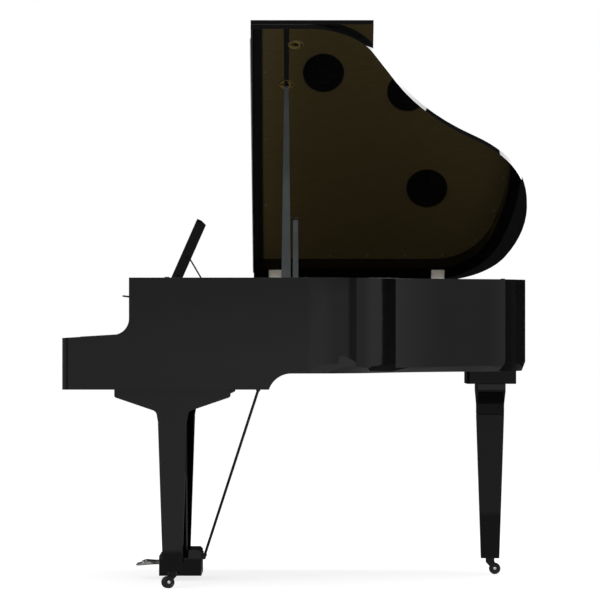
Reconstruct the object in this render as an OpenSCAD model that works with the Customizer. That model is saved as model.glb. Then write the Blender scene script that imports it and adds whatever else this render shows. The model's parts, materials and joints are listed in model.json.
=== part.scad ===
// Baby grand piano with sampled sound: lid propped open, front lid folded back, desk raised.
// The player sits on the -Y side, +X is the treble side, +Y the tail and +Z up.
// The origin is on the floor below the middle of the case. All sizes are in millimetres.

/* [Case] */
// Distance from the origin forward to the fronts of the arms
case_front = 768; // [760:2:790]
// Height of the rim's top edge above the floor
rim_top = 1006; // [996:2:1030]
// Height of the underside below the keys
case_bottom = 644; // [636:2:652]
// How much higher the underside lies behind the keys
belly_rise = 52; // [44:2:60]
// Radius of the sweep between the two undersides
belly_r = 76; // [66:2:90]
// Distance from the origin forward to the end of that sweep
belly_end = 28; // [16:2:60]
// Thickness of the rim and of the cheeks
rim_wall = 40; // [34:1:44]
// Width of the bevel round the bottom of the curved rim
bevel_w = 12; // [6:1:18]
// Height of that bevel
bevel_h = 31; // [16:1:40]
// Turn of the treble shoulder over which the bevel grows to its full width, in degrees
bevel_turn = 28; // [12:4:40]

/* [Arms] */
// Height of the arm tops at their front edge
arm_top = 811; // [806:1:822]
// Slope of the arm tops in degrees
arm_slope = 3.5; // [1:0.5:5]
// Distance from the origin forward to the upright front edge of the full-height sides
cheek_y = 552; // [544:2:560]
// Radius of the hollow between the arm top and that edge
cheek_r = 52; // [30:2:60]
// Radius of the upright outer corner at the arm front
arm_corner_r = 20; // [8:1:30]

/* [Plan curve] */
// Distance behind the origin at which the straight treble side ends
side_end = 25; // [10:5:60]
// Turn of the treble shoulder in degrees
shoulder_turn = 65; // [60:1:68]
// Radius of the treble shoulder
shoulder_r = 231; // [210:1:250]
// Length of the straight run between the shoulder and the waist
bent_run = 183; // [160:1:210]
// Turn of the hollow waist in degrees
waist_turn = 27; // [20:1:30]
// Radius of the waist
waist_r = 909; // [700:1:1000]
// Length of the straight run between the waist and the flank
waist_run = 16; // [5:1:40]
// Turn of the flank in degrees
flank_turn = 40; // [36:1:44]
// Radius of the flank
flank_r = 460; // [420:1:500]
// Turn of the tail in degrees
tail_turn = 37; // [30:1:42]
// Radius of the tail
tail_r = 685; // [600:1:740]
// Radius of the corner between the tail and the bass side
corner_r = 260; // [240:1:280]

/* [Floor of the case] */
// Thickness of the keybed
keybed_t = 32; // [26:1:36]
// How far the bottom board lies above the lower edge of the rim
floor_inset = 6; // [2:1:8]
// Thickness of the rail behind the keybed
belly_rail_t = 22; // [16:1:30]
// Thickness of the bottom board
bottom_t = 12; // [9:1:16]

/* [Sound panel] */
// Depth of the golden panel below the top of the rim
panel_depth = 80; // [74:1:100]
// Thickness of the panel
panel_t = 8; // [6:1:12]
// Thickness of the inner rim that carries the panel
inner_rim_t = 24; // [18:1:30]
// Diameter of the speaker grilles
grille_d = 142; // [120:1:150]
// Diameter of the speaker cones
cone_d = 118; // [100:1:122]
// Depth of a speaker below the panel
speaker_h = 62; // [45:1:75]
// Width of the black cross rail in front of the panel
cross_rail_w = 30; // [24:1:34]
// Pitch of the screws along the side edges of the panel
screw_pitch = 131; // [110:1:150]
// Pitch of the screws along the front edge of the panel
front_screw_pitch = 250; // [200:1:280]

/* [Lid] */
// Opening angle of the propped lid in degrees
lid_open = 32.7; // [30:0.1:35]
// Thickness of the lid boards
lid_t = 17.5; // [15:0.5:20]
// How far the lid stands out over the treble side and the tail
lid_over = 9; // [4:1:14]
// Gap between the closed lid and the rim
lid_gap = 3; // [3:0.1:5]
// Distance from the origin forward to the fold between the lid boards
fold_y = 162; // [156:1:172]
// Gap between the folded lid boards
fold_gap = 0.6; // [0.4:0.1:1.5]
// How far the front lid stands out over the cheeks
front_over = 13; // [6:1:20]
// Radius of the barrel of the long fold hinge
fold_barrel_r = 3; // [2:0.25:4]
// Length of one knuckle of the long fold hinge
fold_knuckle = 70; // [50:5:100]
// Width of a lid hinge
hinge_w = 46; // [36:1:60]
// Length of a lid hinge leaf under the lid
hinge_leaf = 60; // [45:1:80]
// Thickness of the hinge leaves
leaf_t = 1.2; // [0.8:0.1:1.3]
// Radius of the barrel of the lid hinges
barrel_r = 3.2; // [2.8:0.1:4.5]
// Radius of the pin in the lid hinges
hinge_pin_r = 1.5; // [1:0.1:1.8]

/* [Lid props] */
// Distance of the props' pin from the inner face of the rim
prop_reach = 25; // [20:1:35]
// Depth of the props' pin below the top of the rim
prop_depth = 41; // [34:1:46]
// Distance of the long prop's cup from the lid hinges
cup_reach = 1188; // [1160:1:1220]
// Distance from the origin forward to the middle of the long prop
prop_y = 45; // [40:1:60]
// Width of the long prop at its foot
prop_w = 31; // [26:1:36]
// Width of the long prop at its tip
prop_tip_w = 15; // [12:1:20]
// Thickness of the props
prop_t = 16; // [12:1:18]
// Width of the short prop
short_w = 19; // [15:1:24]
// Length of the short prop
short_len = 280; // [240:5:320]
// Distance of the short prop's cup from the lid hinges
short_cup_reach = 1415; // [1380:1:1440]
// Radius of the pin that carries the props
prop_pin_r = 4; // [3:0.25:5]
// Thickness of the lugs round that pin
lug_t = 5; // [4:0.5:8]
// Radius of the cup plates under the lid
cup_r = 26; // [20:1:30]
// Radius of the hole in a cup plate
cup_hole_r = 8; // [7:0.5:10]
// Thickness of the cup plates
cup_t = 2; // [1.5:0.25:3]

/* [Music desk] */
// Depth of the desk shelf below the top of the rim
shelf_depth = 53; // [50:1:58]
// Thickness of the desk shelf
shelf_t = 16; // [12:1:20]
// Distance from the origin forward to the desk's pivot
desk_y = 431; // [420:1:440]
// Height of the desk's pivot above the shelf
desk_lift = 19; // [18:1:22]
// Width of the music desk
desk_w = 820; // [760:5:830]
// Height of the music desk along its board
desk_h = 248; // [220:1:255]
// Thickness of the desk board
desk_t = 16; // [12:1:18]
// Lean of the raised desk in degrees
desk_lean = 23.9; // [20:0.1:28]
// Depth of the ledge that holds the music
ledge_d = 21; // [16:1:22]
// Thickness of the ledge
ledge_t = 10; // [8:1:12]
// Distance of the strut's pivot from the desk's pivot
strut_s = 120; // [112:1:126]
// Length of the wire strut
strut_len = 130; // [126:1:136]
// Diameter of the strut's wire
strut_d = 3; // [2.5:0.25:4]
// Distance between the two legs of the strut
strut_w = 180; // [140:5:182]

/* [Keyboard] */
// Pitch of the naturals
key_pitch = 23.5; // [23:0.1:23.8]
// Gap between neighbouring keys
key_gap = 1; // [0.8:0.1:1.5]
// Height of the naturals' playing surface
key_top = 755; // [752:1:757]
// Height of the key bodies
key_h = 22; // [18:1:25]
// Distance from the origin forward to the fronts of the keys
key_front = 724; // [718:1:728]
// Length of the naturals in front of the name rail
key_show = 148; // [140:1:154]
// Distance from the key fronts to the point that the keys rock on
key_arm = 234; // [215:1:245]
// Length of a key behind that point
key_tail = 10; // [6:1:20]
// Width of the sharps
sharp_w = 11; // [9:0.5:12]
// Length of the sharps in front of the name rail
sharp_len = 98; // [88:1:102]
// Height of the sharps above the naturals
sharp_rise = 12; // [9:0.5:13]
// Travel of the key fronts
key_dip = 10; // [8:0.5:11]

/* [Keyboard surround] */
// Width of the blocks between the keys and the cheeks
block_w = 94; // [88:1:104]
// Gap between the key fronts and the key slip
slip_gap = 11; // [10:0.5:14]
// Thickness of the key slip
slip_t = 17; // [12:1:22]
// How far the top of the key slip lies below the naturals
slip_drop = 8; // [6:1:12]
// Height of the key blocks above the naturals
block_rise = 9; // [6:0.5:10]
// Height of the fallboard's pins above the naturals
fall_lift = 14; // [13.5:0.5:16]
// Gap between the key fronts and the lip of the closed fallboard
lip_gap = 2; // [1.5:0.25:3]
// Thickness of the fallboard
fall_t = 14; // [10:1:16]
// Depth of the fallboard's lip
lip_d = 22; // [16:1:24]
// Thickness of the fallboard's lip
lip_t = 5; // [4:0.5:6]

/* [Controls] */
// Diameter of the volume dial
dial_d = 30; // [24:1:36]
// Height of the controls above the key block
control_rise = 3; // [2:0.25:3.5]
// Diameter of the power button
power_d = 16; // [12:1:20]
// Travel of the power button
power_travel = 1.2; // [0.8:0.1:1.6]

/* [Legs] */
// Distance of the front legs from the sides of the case
leg_inset = 34; // [28:1:45]
// Distance from the origin forward to the front legs
leg_y = 413; // [400:1:425]
// Distance of the tail leg from the origin towards the bass side
tail_leg_x = 309; // [290:1:330]
// Distance from the origin back to the tail leg
tail_leg_y = 650; // [630:1:655]
// Width of a leg's shoulder
shoulder_w = 375; // [340:1:390]
// Height of the upright ends of the shoulder
shoulder_h = 27; // [20:1:36]
// Width of the neck below the shoulder
neck_w = 100; // [95:1:110]
// Height of the whole shoulder piece
neck_h = 105; // [98:1:120]
// Width of a leg at its top
leg_w = 93; // [84:1:94]
// Width of a leg at its foot
foot_w = 62; // [56:1:72]
// Height of the foot of a leg above the floor
foot_z = 55; // [52:1:60]
// Width of the block above the tail leg
tail_block_w = 168; // [150:1:190]
// Length of that block
tail_block_l = 300; // [260:5:330]

/* [Casters] */
// Diameter of the caster wheels
wheel_d = 39; // [36:1:42]
// Width of one caster wheel
wheel_w = 9; // [7:0.5:11]
// Distance of the wheels' axle from the swivel axis
trail = 16; // [12:1:18]
// Radius of the caster's stem
stem_r = 5; // [4:0.5:6]
// Radius of the axle of the wheels
axle_r = 3; // [2.5:0.25:4]

/* [Lyre] */
// Width of the pedal box
box_w = 330; // [300:2:360]
// Distance from the origin forward to the back of the pedal box
box_back = 329; // [320:1:340]
// Depth of the pedal box
box_d = 141; // [130:1:150]
// Height of the underside of the pedal box
box_z = 16; // [12:1:24]
// Height of the pedal box
box_h = 86; // [78:1:92]
// Wall of the pedal box
box_wall = 12; // [9:1:14]
// Distance between the two posts
post_pitch = 130; // [110:1:160]
// Width of a post
post_w = 36; // [30:1:44]
// Thickness of the plate on top of the posts
lyre_plate_t = 14; // [10:1:18]
// Diameter of the back stays
stay_d = 8.5; // [7:0.5:10]
// Distance of the stays from the middle
stay_x = 95; // [80:1:110]
// Distance between the pedals
pedal_pitch = 72; // [64:1:80]
// Width of a pedal at its tip
pedal_w = 42; // [36:1:46]
// Width of a pedal's shank
shank_w = 24; // [18:1:28]
// Length of a pedal in front of the box
pedal_out = 81; // [70:1:90]
// Thickness of a pedal
pedal_t = 9; // [7:0.5:10]
// Height of a pedal's middle above the floor
pedal_z = 55; // [52:1:58]
// Travel of a pedal's tip
pedal_dip = 13; // [10:1:15]

/* [Clearances] */
// Gap between a piece and its seat
seat = 0.3; // [0.2:0.05:0.4]
// Radial clearance of the hinge pins
run = 0.06; // [0.03:0.01:0.1]

/* [Hidden] */
$fn = 48;
// Turn of one facet of a bend in degrees
bend_step = 4;
// The keys set the width of the case, and the plan grows with it
// Number of naturals, and of naturals in one group
key_count = 52;
group_size = 13;
keys_half = key_count / 2 * key_pitch;
half = keys_half + block_w + rim_wall;
case_w = 2 * half;
belly_z = case_bottom + belly_rise;
inner = half - rim_wall;
keybed_top = case_bottom + keybed_t;
panel_top = rim_top - panel_depth;
lid_z = rim_top + lid_gap;
lid_top = lid_z + lid_t;

// Start of the hollow sweep under the case
belly_start = belly_end + sqrt(belly_r * belly_r - (belly_r - belly_rise) * (belly_r - belly_rise));
rail_setback = 8;
rail_back = belly_start + rail_setback;
keybed_back = rail_back + belly_rail_t;

// Plan outline of the rim as a chain of tangent bends. Each one is a left turn in degrees,
// its radius, and the straight run that follows it.
bends = [
    [shoulder_turn, shoulder_r, bent_run],
    [-waist_turn, waist_r, waist_run],
    [flank_turn, flank_r, 0],
    [tail_turn, tail_r, 0]
];
corner_h = shoulder_turn - waist_turn + flank_turn + tail_turn;
// How far the bends from number i on lead towards the bass side
function crossing(i = 0, h = 0) =
    i == len(bends) ? 0 :
    let (turn = bends[i][0], g = h + turn)
    sign(turn) * bends[i][1] * (cos(h) - cos(g)) + bends[i][2] * sin(g) + crossing(i + 1, g);
// The chain with its last corner spans the width of the case, so its sizes are fitted to that
plan_k = case_w / (crossing() + corner_r * (1 + cos(corner_h)));
function left_of(h) = [-cos(h), -sin(h)];
function ahead(h) = [-sin(h), cos(h)];
function last(list) = list[len(list) - 1];

// Points of one bend that starts at p and heads along h
function bend(p, h, turn, r) =
    let (side = sign(turn), n = ceil(abs(turn) / bend_step), centre = p + side * r * left_of(h))
    [for (k = [1:n]) centre - side * r * left_of(h + turn * k / n)];

// Points of the bends from number i on. Insetting the outline keeps every centre.
function chain(p, h, inset, i = 0) =
    i == len(bends) ? [] :
    let (
        turn = bends[i][0],
        arc = bend(p, h, turn, plan_k * bends[i][1] - sign(turn) * inset),
        run_out = plan_k * bends[i][2],
        q = last(arc) + run_out * ahead(h + turn)
    )
    concat(arc, run_out > 0 ? [q] : [], chain(q, h + turn, inset, i + 1));

// The curved part of the outline, inset from the rim's outer face
function curve(inset) =
    let (start = [half - inset, side_end], points = chain(start, 0, inset))
    concat([start], points, bend(last(points), corner_h, 180 - corner_h, plan_k * corner_r - inset));

// The closed outline from y = front to the tail
function outline(inset, front) =
    concat([[half - inset, front]], curve(inset), [[-half + inset, front]]);

// The board or ring inside the outline
module plan(inset, front) polygon(outline(inset, front));

module plan_ring(inset, wall, front) {
    difference() {
        plan(inset, front);
        plan(inset + wall, front - 1);
    }
}

// Lays a drawing of the y-z plane upright and extrudes it along x
module along_x(x0, x1) {
    translate([x0, 0, 0]) rotate([90, 0, 90]) linear_extrude(x1 - x0) children();
}

module block(low, high) translate(low) cube(high - low);

// Points of an arc from angle a to angle b
function arc(centre, r, a, b, n = 12) =
    [for (k = [0:n]) centre + r * [cos(a + (b - a) * k / n), sin(a + (b - a) * k / n)]];

// A cylinder along x or y, centred on its place
module rod_x(x0, x1, y, z, r) translate([x0, y, z]) rotate([0, 90, 0]) cylinder(r = r, h = x1 - x0);
module rod_y(x, y0, y1, z, r) translate([x, y0, z]) rotate([-90, 0, 0]) cylinder(r = r, h = y1 - y0);

// CASE
// Side view of the cheek: arm, hollow, upright edge, and the sweep of the underside
arm_rise = tan(arm_slope);
hollow_y = -cheek_y - cheek_r;
hollow_z = arm_top + (hollow_y + case_front) * arm_rise + cheek_r / cos(arm_slope);
module cheek_profile() {
    polygon(concat(
        [[-case_front, case_bottom]],
        arc([-belly_end, belly_z - belly_r], belly_r, 180 - asin(1 - belly_rise / belly_r), 90),
        [[-belly_end, rim_top], [-cheek_y, rim_top]],
        arc([hollow_y, hollow_z], cheek_r, 0, -90 + arm_slope),
        [[-case_front, arm_top]]
    ));
}

// What is cut away outside the rounded corner at an arm's front
module arm_corner_cut() {
    translate([half - arm_corner_r, -case_front + arm_corner_r, 0]) rotate([0, 0, -90])
        difference() {
            cube([arm_corner_r + 1, arm_corner_r + 1, rim_top]);
            cylinder(r = arm_corner_r, h = rim_top);
        }
}

// The curved bottom edge: a ring whose outer face draws in towards the bottom.
// The bevel grows from nothing over the treble shoulder and dies out on the bass side.
module bevel_ring() {
    top = concat([[half, -belly_end]], curve(0), [[-half, -belly_end]]);
    low = concat([[half, -belly_end]], curve(bevel_w), [[-half, -belly_end]]);
    wall = concat([[inner, -belly_end]], curve(rim_wall), [[-inner, -belly_end]]);
    n = len(top);
    grow = ceil(bevel_turn / bend_step);
    function share(i) = min(1, max(0, i - 1) / grow, max(0, n - 2 - i) / grow);
    points = [for (i = [0:n - 1]) each [
        [each (top[i] + (low[i] - top[i]) * share(i)), belly_z],
        [each top[i], belly_z + bevel_h],
        [each wall[i], belly_z + bevel_h],
        [each wall[i], belly_z]
    ]];
    sides = [for (i = [0:n - 2]) each [for (k = [0:3]) [
        4 * i + k, 4 * i + (k + 1) % 4, 4 * i + 4 + (k + 1) % 4, 4 * i + 4 + k
    ]]];
    polyhedron(points, concat(sides, [[3, 2, 1, 0], [4 * n - 4, 4 * n - 3, 4 * n - 2, 4 * n - 1]]));
}

module rim() color("#151517") {
    difference() {
        for (side = [0, 1]) mirror([side, 0, 0]) difference() {
            along_x(inner, half) cheek_profile();
            arm_corner_cut();
        }
        // Seats of the fallboard's end pins
        rod_x(-inner - pin_in, inner + pin_in, -cheek_y, fall_z, fall_pin_r + run);
    }
    translate([0, 0, belly_z + bevel_h]) linear_extrude(rim_top - belly_z - bevel_h)
        plan_ring(0, rim_wall, -belly_end);
    bevel_ring();
}

// The bearing ring that the sound panel rests on
bottom_z = belly_z + floor_inset;
bottom_top = bottom_z + bottom_t;
panel_z = panel_top - panel_t;
rail_front = -fold_y;
panel_front = rail_front + cross_rail_w + seat;
panel_ledge_w = 16;
panel_ledge_h = 20;
ledge_back = panel_front + panel_ledge_w;
module inner_rim() color("#7d5c33") translate([0, 0, bottom_top])
    linear_extrude(panel_z - bottom_top) plan_ring(rim_wall + seat, inner_rim_t, ledge_back + seat);

module keybed() color("#1c1a19")
    block([-inner + seat, -case_front + slip_reveal, case_bottom], [inner - seat, -keybed_back, keybed_top]);

// The rail that steps up from the keybed to the bottom board
module belly_rail() color("#1c1a19")
    block([-inner + seat, -keybed_back, case_bottom], [inner - seat, -rail_back, bottom_top]);

module bottom_board() color("#232120") translate([0, 0, bottom_z])
    linear_extrude(bottom_t) plan(rim_wall + seat, -rail_back);

// The wall between keys and speakers. It carries the back of the desk shelf on its top, and
// the front of the panel on a ledge.
shelf_z = rim_top - shelf_depth - shelf_t;
shelf_seat_w = 12;
module cross_rail() color("#141414") along_x(-inner + seat, inner - seat) polygon([
    [rail_front - shelf_seat_w, keybed_top],
    [rail_front + cross_rail_w, keybed_top],
    [rail_front + cross_rail_w, panel_z - panel_ledge_h],
    [ledge_back, panel_z - panel_ledge_h],
    [ledge_back, panel_z],
    [rail_front + cross_rail_w, panel_z],
    [rail_front + cross_rail_w, shelf_z],
    [rail_front - shelf_seat_w, shelf_z]
]);

// SOUND PANEL
// Places of the speakers
front_speaker_y = 81;
middle_speaker_x = 71;
middle_speaker_y = 373;
back_speaker_x = 434;
back_speaker_y = 443;
speakers = plan_k * [
    [0, front_speaker_y], [-middle_speaker_x, middle_speaker_y], [-back_speaker_x, back_speaker_y]
];
cone_gap = 3;
hole_d = cone_d + 2 * cone_gap;
module sound_panel() color("#b98b45") translate([0, 0, panel_z]) linear_extrude(panel_t)
    difference() {
        plan(rim_wall + seat, panel_front);
        for (p = speakers) translate(p) circle(d = hole_d);
    }

// Open grille: an edge bead, rings and spokes, and a cap in the middle
grille_t = 2.5;
bar_t = 1.5;
bead_w = 8;
ring_w = 3.5;
ring_count = 6;
spoke_w = 3;
spoke_count = 6;
cap_r = 8;
module grille() {
    rim_in = grille_d / 2 - bead_w;
    rotate_extrude() {
        translate([rim_in, 0]) square([bead_w - grille_t / 2, grille_t]);
        translate([grille_d / 2 - grille_t / 2, grille_t / 2]) circle(d = grille_t);
        for (k = [1:ring_count]) translate([k * rim_in / (ring_count + 1), 0]) square([ring_w, bar_t]);
        square([cap_r, grille_t + 1]);
    }
    for (k = [0:spoke_count - 1]) rotate([0, 0, (k + 0.25) * 360 / spoke_count])
        translate([0, -spoke_w / 2, 0]) cube([rim_in + bead_w / 2, spoke_w, bar_t]);
}
module speaker_grilles() color("#0c0c0c") for (p = speakers) translate([each p, panel_top]) grille();

// Speaker seen from the side: magnet, basket, flange, surround, cone and dust cap
magnet_r = 42;
magnet_h = 20;
basket_r = 26;
flange_w = 7;
flange_t = 5;
surround_w = 9;
surround_h = 3;
dust_cap_r = 20;
cone_depth = 30;
module speaker() {
    cone_r = cone_d / 2;
    rotate_extrude() polygon([
        [0, -speaker_h], [magnet_r, -speaker_h], [magnet_r, magnet_h - speaker_h],
        [basket_r, magnet_h - speaker_h], [cone_r - flange_w, -flange_t],
        [cone_r + flange_w, -flange_t], [cone_r + flange_w, 0], [cone_r, 0],
        [cone_r - surround_w / 3, surround_h], [cone_r - surround_w, surround_h],
        [cone_r - surround_w - 2, -1], [dust_cap_r, -cone_depth],
        [dust_cap_r * 0.7, 5 - cone_depth], [0, 8 - cone_depth]
    ]);
}
module speaker_drivers() color("#1b1b1d") for (p = speakers) translate([each p, panel_z]) speaker();

// Points a pitch apart along a line of points
function run_lengths(p, i = 0, d = 0) =
    i == len(p) - 1 ? [d] : concat([d], run_lengths(p, i + 1, d + norm(p[i + 1] - p[i])));
function spot(p, s, d, i = 0) =
    s[i + 1] >= d ? p[i] + (p[i + 1] - p[i]) * (d - s[i]) / (s[i + 1] - s[i]) : spot(p, s, d, i + 1);
function spots(p, pitch, first) =
    let (s = run_lengths(p))
    [for (d = [first:pitch:last(s) - first / 2]) spot(p, s, d)];

// Screws round the edge of the panel and along its front
screw_in = 12;
screw_r = 4.5;
screw_h = 1.6;
module panel_screws() color("#c9b27a") {
    front_y = panel_front + screw_in;
    edge = outline(rim_wall + screw_in, front_y);
    front = [for (k = [-2:2]) [k * front_screw_pitch, front_y]];
    for (p = concat(spots(edge, screw_pitch, screw_pitch / 2), front))
        translate([each p, panel_top]) cylinder(r1 = screw_r, r2 = screw_r - 1.5, h = screw_h);
}

// LID HINGES AND LID
pivot_x = -half - barrel_r - seat;
pivot_z = rim_top + lid_gap / 2;
front_hinge_y = 86;
back_hinge_y = 482;
hinge_places = plan_k * [-front_hinge_y, back_hinge_y];
module on_lid() {
    translate([pivot_x, 0, pivot_z]) rotate([0, -lid_open, 0]) translate([-pivot_x, 0, -pivot_z])
        children();
}

// One lid hinge is three knuckles: the outer two are on the rim, the middle one is on the lid
knuckle = (hinge_w - 2 * seat) / 3;
leaf_margin = 4;
module rim_hinges() color("#d8d4c8") for (y = hinge_places) translate([0, y - hinge_w / 2, 0]) {
    block([-half, 0, rim_top], [-half + rim_wall - leaf_margin, hinge_w, rim_top + leaf_t]);
    rod_y(pivot_x, 0, hinge_w, pivot_z, hinge_pin_r);
    for (k = [0, 2]) translate([0, k * (knuckle + seat), 0]) {
        rod_y(pivot_x, 0, knuckle, pivot_z, barrel_r);
        block([pivot_x, 0, rim_top], [-half + 1, knuckle, rim_top + leaf_t]);
    }
}
module lid_leaf() {
    block([-half, 0, lid_z - leaf_t], [-half + hinge_leaf, hinge_w, lid_z]);
    translate([0, knuckle + seat, 0]) difference() {
        union() {
            rod_y(pivot_x, 0, knuckle, pivot_z, barrel_r);
            block([pivot_x, 0, lid_z - leaf_t], [-half + 1, knuckle, lid_z]);
        }
        rod_y(pivot_x, -1, knuckle + 1, pivot_z, hinge_pin_r + run);
    }
}

// The long hinge between the lid boards. Its knuckles alternate between the two boards.
fold_z = lid_top + fold_gap / 2;
fold_margin = 20;
fold_pin_r = 1;
fold_x0 = -half + fold_margin;
fold_count = floor((case_w - 2 * fold_margin) / fold_knuckle);
module fold_knuckle(k) translate([fold_x0 + k * fold_knuckle, 0, 0])
    rod_x(0, fold_knuckle - seat, -fold_y, fold_z, fold_barrel_r);
module fold_pin(grow)
    rod_x(fold_x0, fold_x0 + fold_count * fold_knuckle - seat, -fold_y, fold_z, fold_pin_r + grow);
module fold_groove() rod_x(-half - 1, half + lid_over + 1, -fold_y, fold_z, fold_barrel_r + seat);

module lid_hinges() color("#cfc7ae") on_lid() {
    for (y = hinge_places) translate([0, y - hinge_w / 2, 0]) lid_leaf();
    for (k = [0:2:fold_count - 1]) fold_knuckle(k);
    fold_pin(0);
}
module fold_knuckles() color("#cfc7ae") on_lid() difference() {
    for (k = [1:2:fold_count - 1]) fold_knuckle(k);
    fold_pin(run);
}

// A lid board lies inside the outline, flush with the case on the bass side
module lid_plan(y0, y1) intersection() {
    plan(-lid_over, y0);
    translate([-half, y0]) square([case_w + 2 * lid_over, y1 - y0]);
}
cup_x = pivot_x + plan_k * cup_reach;
short_cup_x = pivot_x + plan_k * short_cup_reach;
short_y = -prop_y + prop_w / 2 + 2 * seat + lug_t + short_w / 2;
cups = [[cup_x, -prop_y], [short_cup_x, short_y]];
cup_hole_depth = 7;
module main_lid() color("#101012") on_lid() difference() {
    translate([0, 0, lid_z]) linear_extrude(lid_t) lid_plan(-fold_y + seat, case_front + case_w);
    fold_groove();
    for (p = cups) translate([each p, lid_z - 1]) cylinder(r = cup_hole_r, h = cup_hole_depth + 1);
}

// The front lid is drawn in its closed place and turned over onto the main lid
module front_lid() color("#101012") on_lid()
    translate([0, -fold_y, fold_z]) rotate([180, 0, 0]) translate([0, fold_y, -fold_z])
        difference() {
            translate([0, 0, lid_z]) linear_extrude(lid_t)
                lid_plan(-cheek_y - front_over, -fold_y - seat);
            fold_groove();
        }

// Round plates under the lid that take the tips of the props
module prop_cups() color("#a08c5c") on_lid()
    for (p = cups) translate([each p, lid_z - cup_t])
        difference() {
            cylinder(r = cup_r, h = cup_t);
            translate([0, 0, -1]) cylinder(r = cup_hole_r, h = cup_t + 2);
        }

// Rubber buttons that the closed lid lies on
button_r = 8;
button_pitch = 620;
first_button = 420;
front_button_y = 430;
bass_button_y = 200;
button_x = half - rim_wall / 2;
button_places = [[button_x, -front_button_y], [button_x, side_end - button_r], [-button_x, bass_button_y]];
module lid_buttons() color("#0b0b0b") {
    edge = curve(rim_wall / 2);
    for (p = concat(button_places, spots(edge, button_pitch, first_button))) translate([each p, rim_top])
        cylinder(r1 = button_r, r2 = button_r - 1, h = lid_gap - 2 * seat);
}

// PROPS
prop_x = inner - prop_reach;
prop_z = rim_top - prop_depth;
foot_r = 9;
bracket_t = 3;
bracket_h = 48;
bracket_margin = 6;
// Middle of the long prop's cup, on the lower face of the plate, with the lid open
cup_h = lid_z - cup_t - pivot_z;
cup_at = [
    pivot_x + (cup_x - pivot_x) * cos(lid_open) - cup_h * sin(lid_open),
    pivot_z + (cup_x - pivot_x) * sin(lid_open) + cup_h * cos(lid_open)
];
prop_line = cup_at - [prop_x, prop_z];
prop_lean = atan2(-prop_line[0], prop_line[1]);
prop_len = norm(prop_line) - seat;
tip_r = 6.5;

module at_prop(y) translate([prop_x, y, prop_z]) rotate([0, -prop_lean, 0]) children();

// A stick that tapers from w0 at the foot to w1, with an eye round the pin
module stick(w0, w1, length) difference() {
    union() {
        rotate([90, 0, 90]) translate([0, 0, -prop_t / 2]) linear_extrude(prop_t)
            polygon([[-w0 / 2, 0], [w0 / 2, 0], [w1 / 2, length], [-w1 / 2, length]]);
        rod_y(0, -w0 / 2, w0 / 2, 0, foot_r);
    }
    rod_y(0, -w0, w0, 0, prop_pin_r + run);
}
module long_prop() color("#2a2d2e") at_prop(-prop_y) {
    stick(prop_w, prop_tip_w, prop_len - 2 * tip_r);
    translate([0, 0, prop_len - tip_r]) {
        sphere(r = tip_r);
        translate([0, 0, -tip_r - 1]) cylinder(r = tip_r, h = tip_r + 1);
    }
}
short_tip = 15;
short_taper = 3;
module short_prop() color("#2a2d2e") at_prop(short_y) {
    stick(short_w, short_w - short_taper, short_len - short_tip + 1);
    translate([0, 0, short_len - short_tip])
        cylinder(r1 = prop_t / 2 - 0.5, r2 = prop_t / 2 - 2, h = short_tip);
}

// The plate on the rim with the three lugs and the pin of the props
lugs = [
    -prop_y - prop_w / 2 - seat - lug_t,
    -prop_y + prop_w / 2 + seat,
    short_y + short_w / 2 + seat
];
module prop_bracket() color("#b9a878") {
    block(
        [inner - bracket_t, lugs[0] - bracket_margin, prop_z - bracket_h / 2],
        [inner, lugs[2] + lug_t + bracket_margin, prop_z + bracket_h / 2]
    );
    for (y = lugs) {
        block([prop_x, y, prop_z - foot_r], [inner - bracket_t + 1, y + lug_t, prop_z + foot_r]);
        rod_y(prop_x, y, y + lug_t, prop_z, foot_r);
    }
    rod_y(prop_x, lugs[0], lugs[2] + lug_t, prop_z, prop_pin_r);
}

// MUSIC DESK
shelf_top = rim_top - shelf_depth;
desk_z = shelf_top + desk_lift;
fall_gap = 1;
board_back = -cheek_y + fall_gap + fall_t;
module desk_shelf() color("#121213")
    block([-inner + seat, board_back + seat, shelf_z], [inner - seat, rail_front, shelf_top]);

desk_pin_r = 4;
bearing_w = 12;
bearing_r = 9;
bearing_l = 26;
rack_w = 20;
rack_l = 62;
// How far the top of a grooved strip falls towards its back end
rack_fall = 0.8;
groove_pitch = 18;
// Places of the strut's pivot and foot
strut_r = strut_d / 2;
eye_r = strut_r + 2;
eye_n = desk_t / 2 + eye_r;
eye_at = [
    -desk_y + strut_s * sin(desk_lean) + eye_n * cos(desk_lean),
    desk_z + strut_s * cos(desk_lean) - eye_n * sin(desk_lean)
];
rack_h = 10;
foot_at_z = shelf_top + rack_h + seat + strut_r;
strut_angle = acos((eye_at[1] - foot_at_z) / strut_len);
foot_at_y = eye_at[0] + strut_len * sin(strut_angle);
// The strips lie between the eyes, so that the folded strut passes them
eye_w = 10;
eye_in = 3;
rack_out = strut_w / 2 - eye_w - 4;
rack_y = foot_at_y - 12;

// Bearings at both ends of the desk, and the grooved strips under the strut
module desk_bearings() color("#1a1a1b") {
    for (side = [0, 1]) mirror([side, 0, 0]) {
        difference() {
            along_x(desk_w / 2 + seat, desk_w / 2 + bearing_w) {
                translate([-desk_y - bearing_l / 2, shelf_top]) square([bearing_l, desk_lift]);
                translate([-desk_y, desk_z]) circle(r = bearing_r);
            }
            rod_x(desk_w / 2 - 1, desk_w / 2 + bearing_w + 1, -desk_y, desk_z, desk_pin_r + run);
        }
        difference() {
            along_x(rack_out - rack_w, rack_out) polygon([
                [rack_y, shelf_top], [rack_y, shelf_top + rack_h],
                [foot_at_y + strut_d, shelf_top + rack_h],
                [rack_y + rack_l, shelf_top + rack_h - rack_fall], [rack_y + rack_l, shelf_top]
            ]);
            for (k = [1:2]) rod_x(
                rack_out - rack_w - 1, rack_out + 1,
                foot_at_y + k * groove_pitch, shelf_top + rack_h, strut_r + 0.6
            );
        }
    }
}

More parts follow.
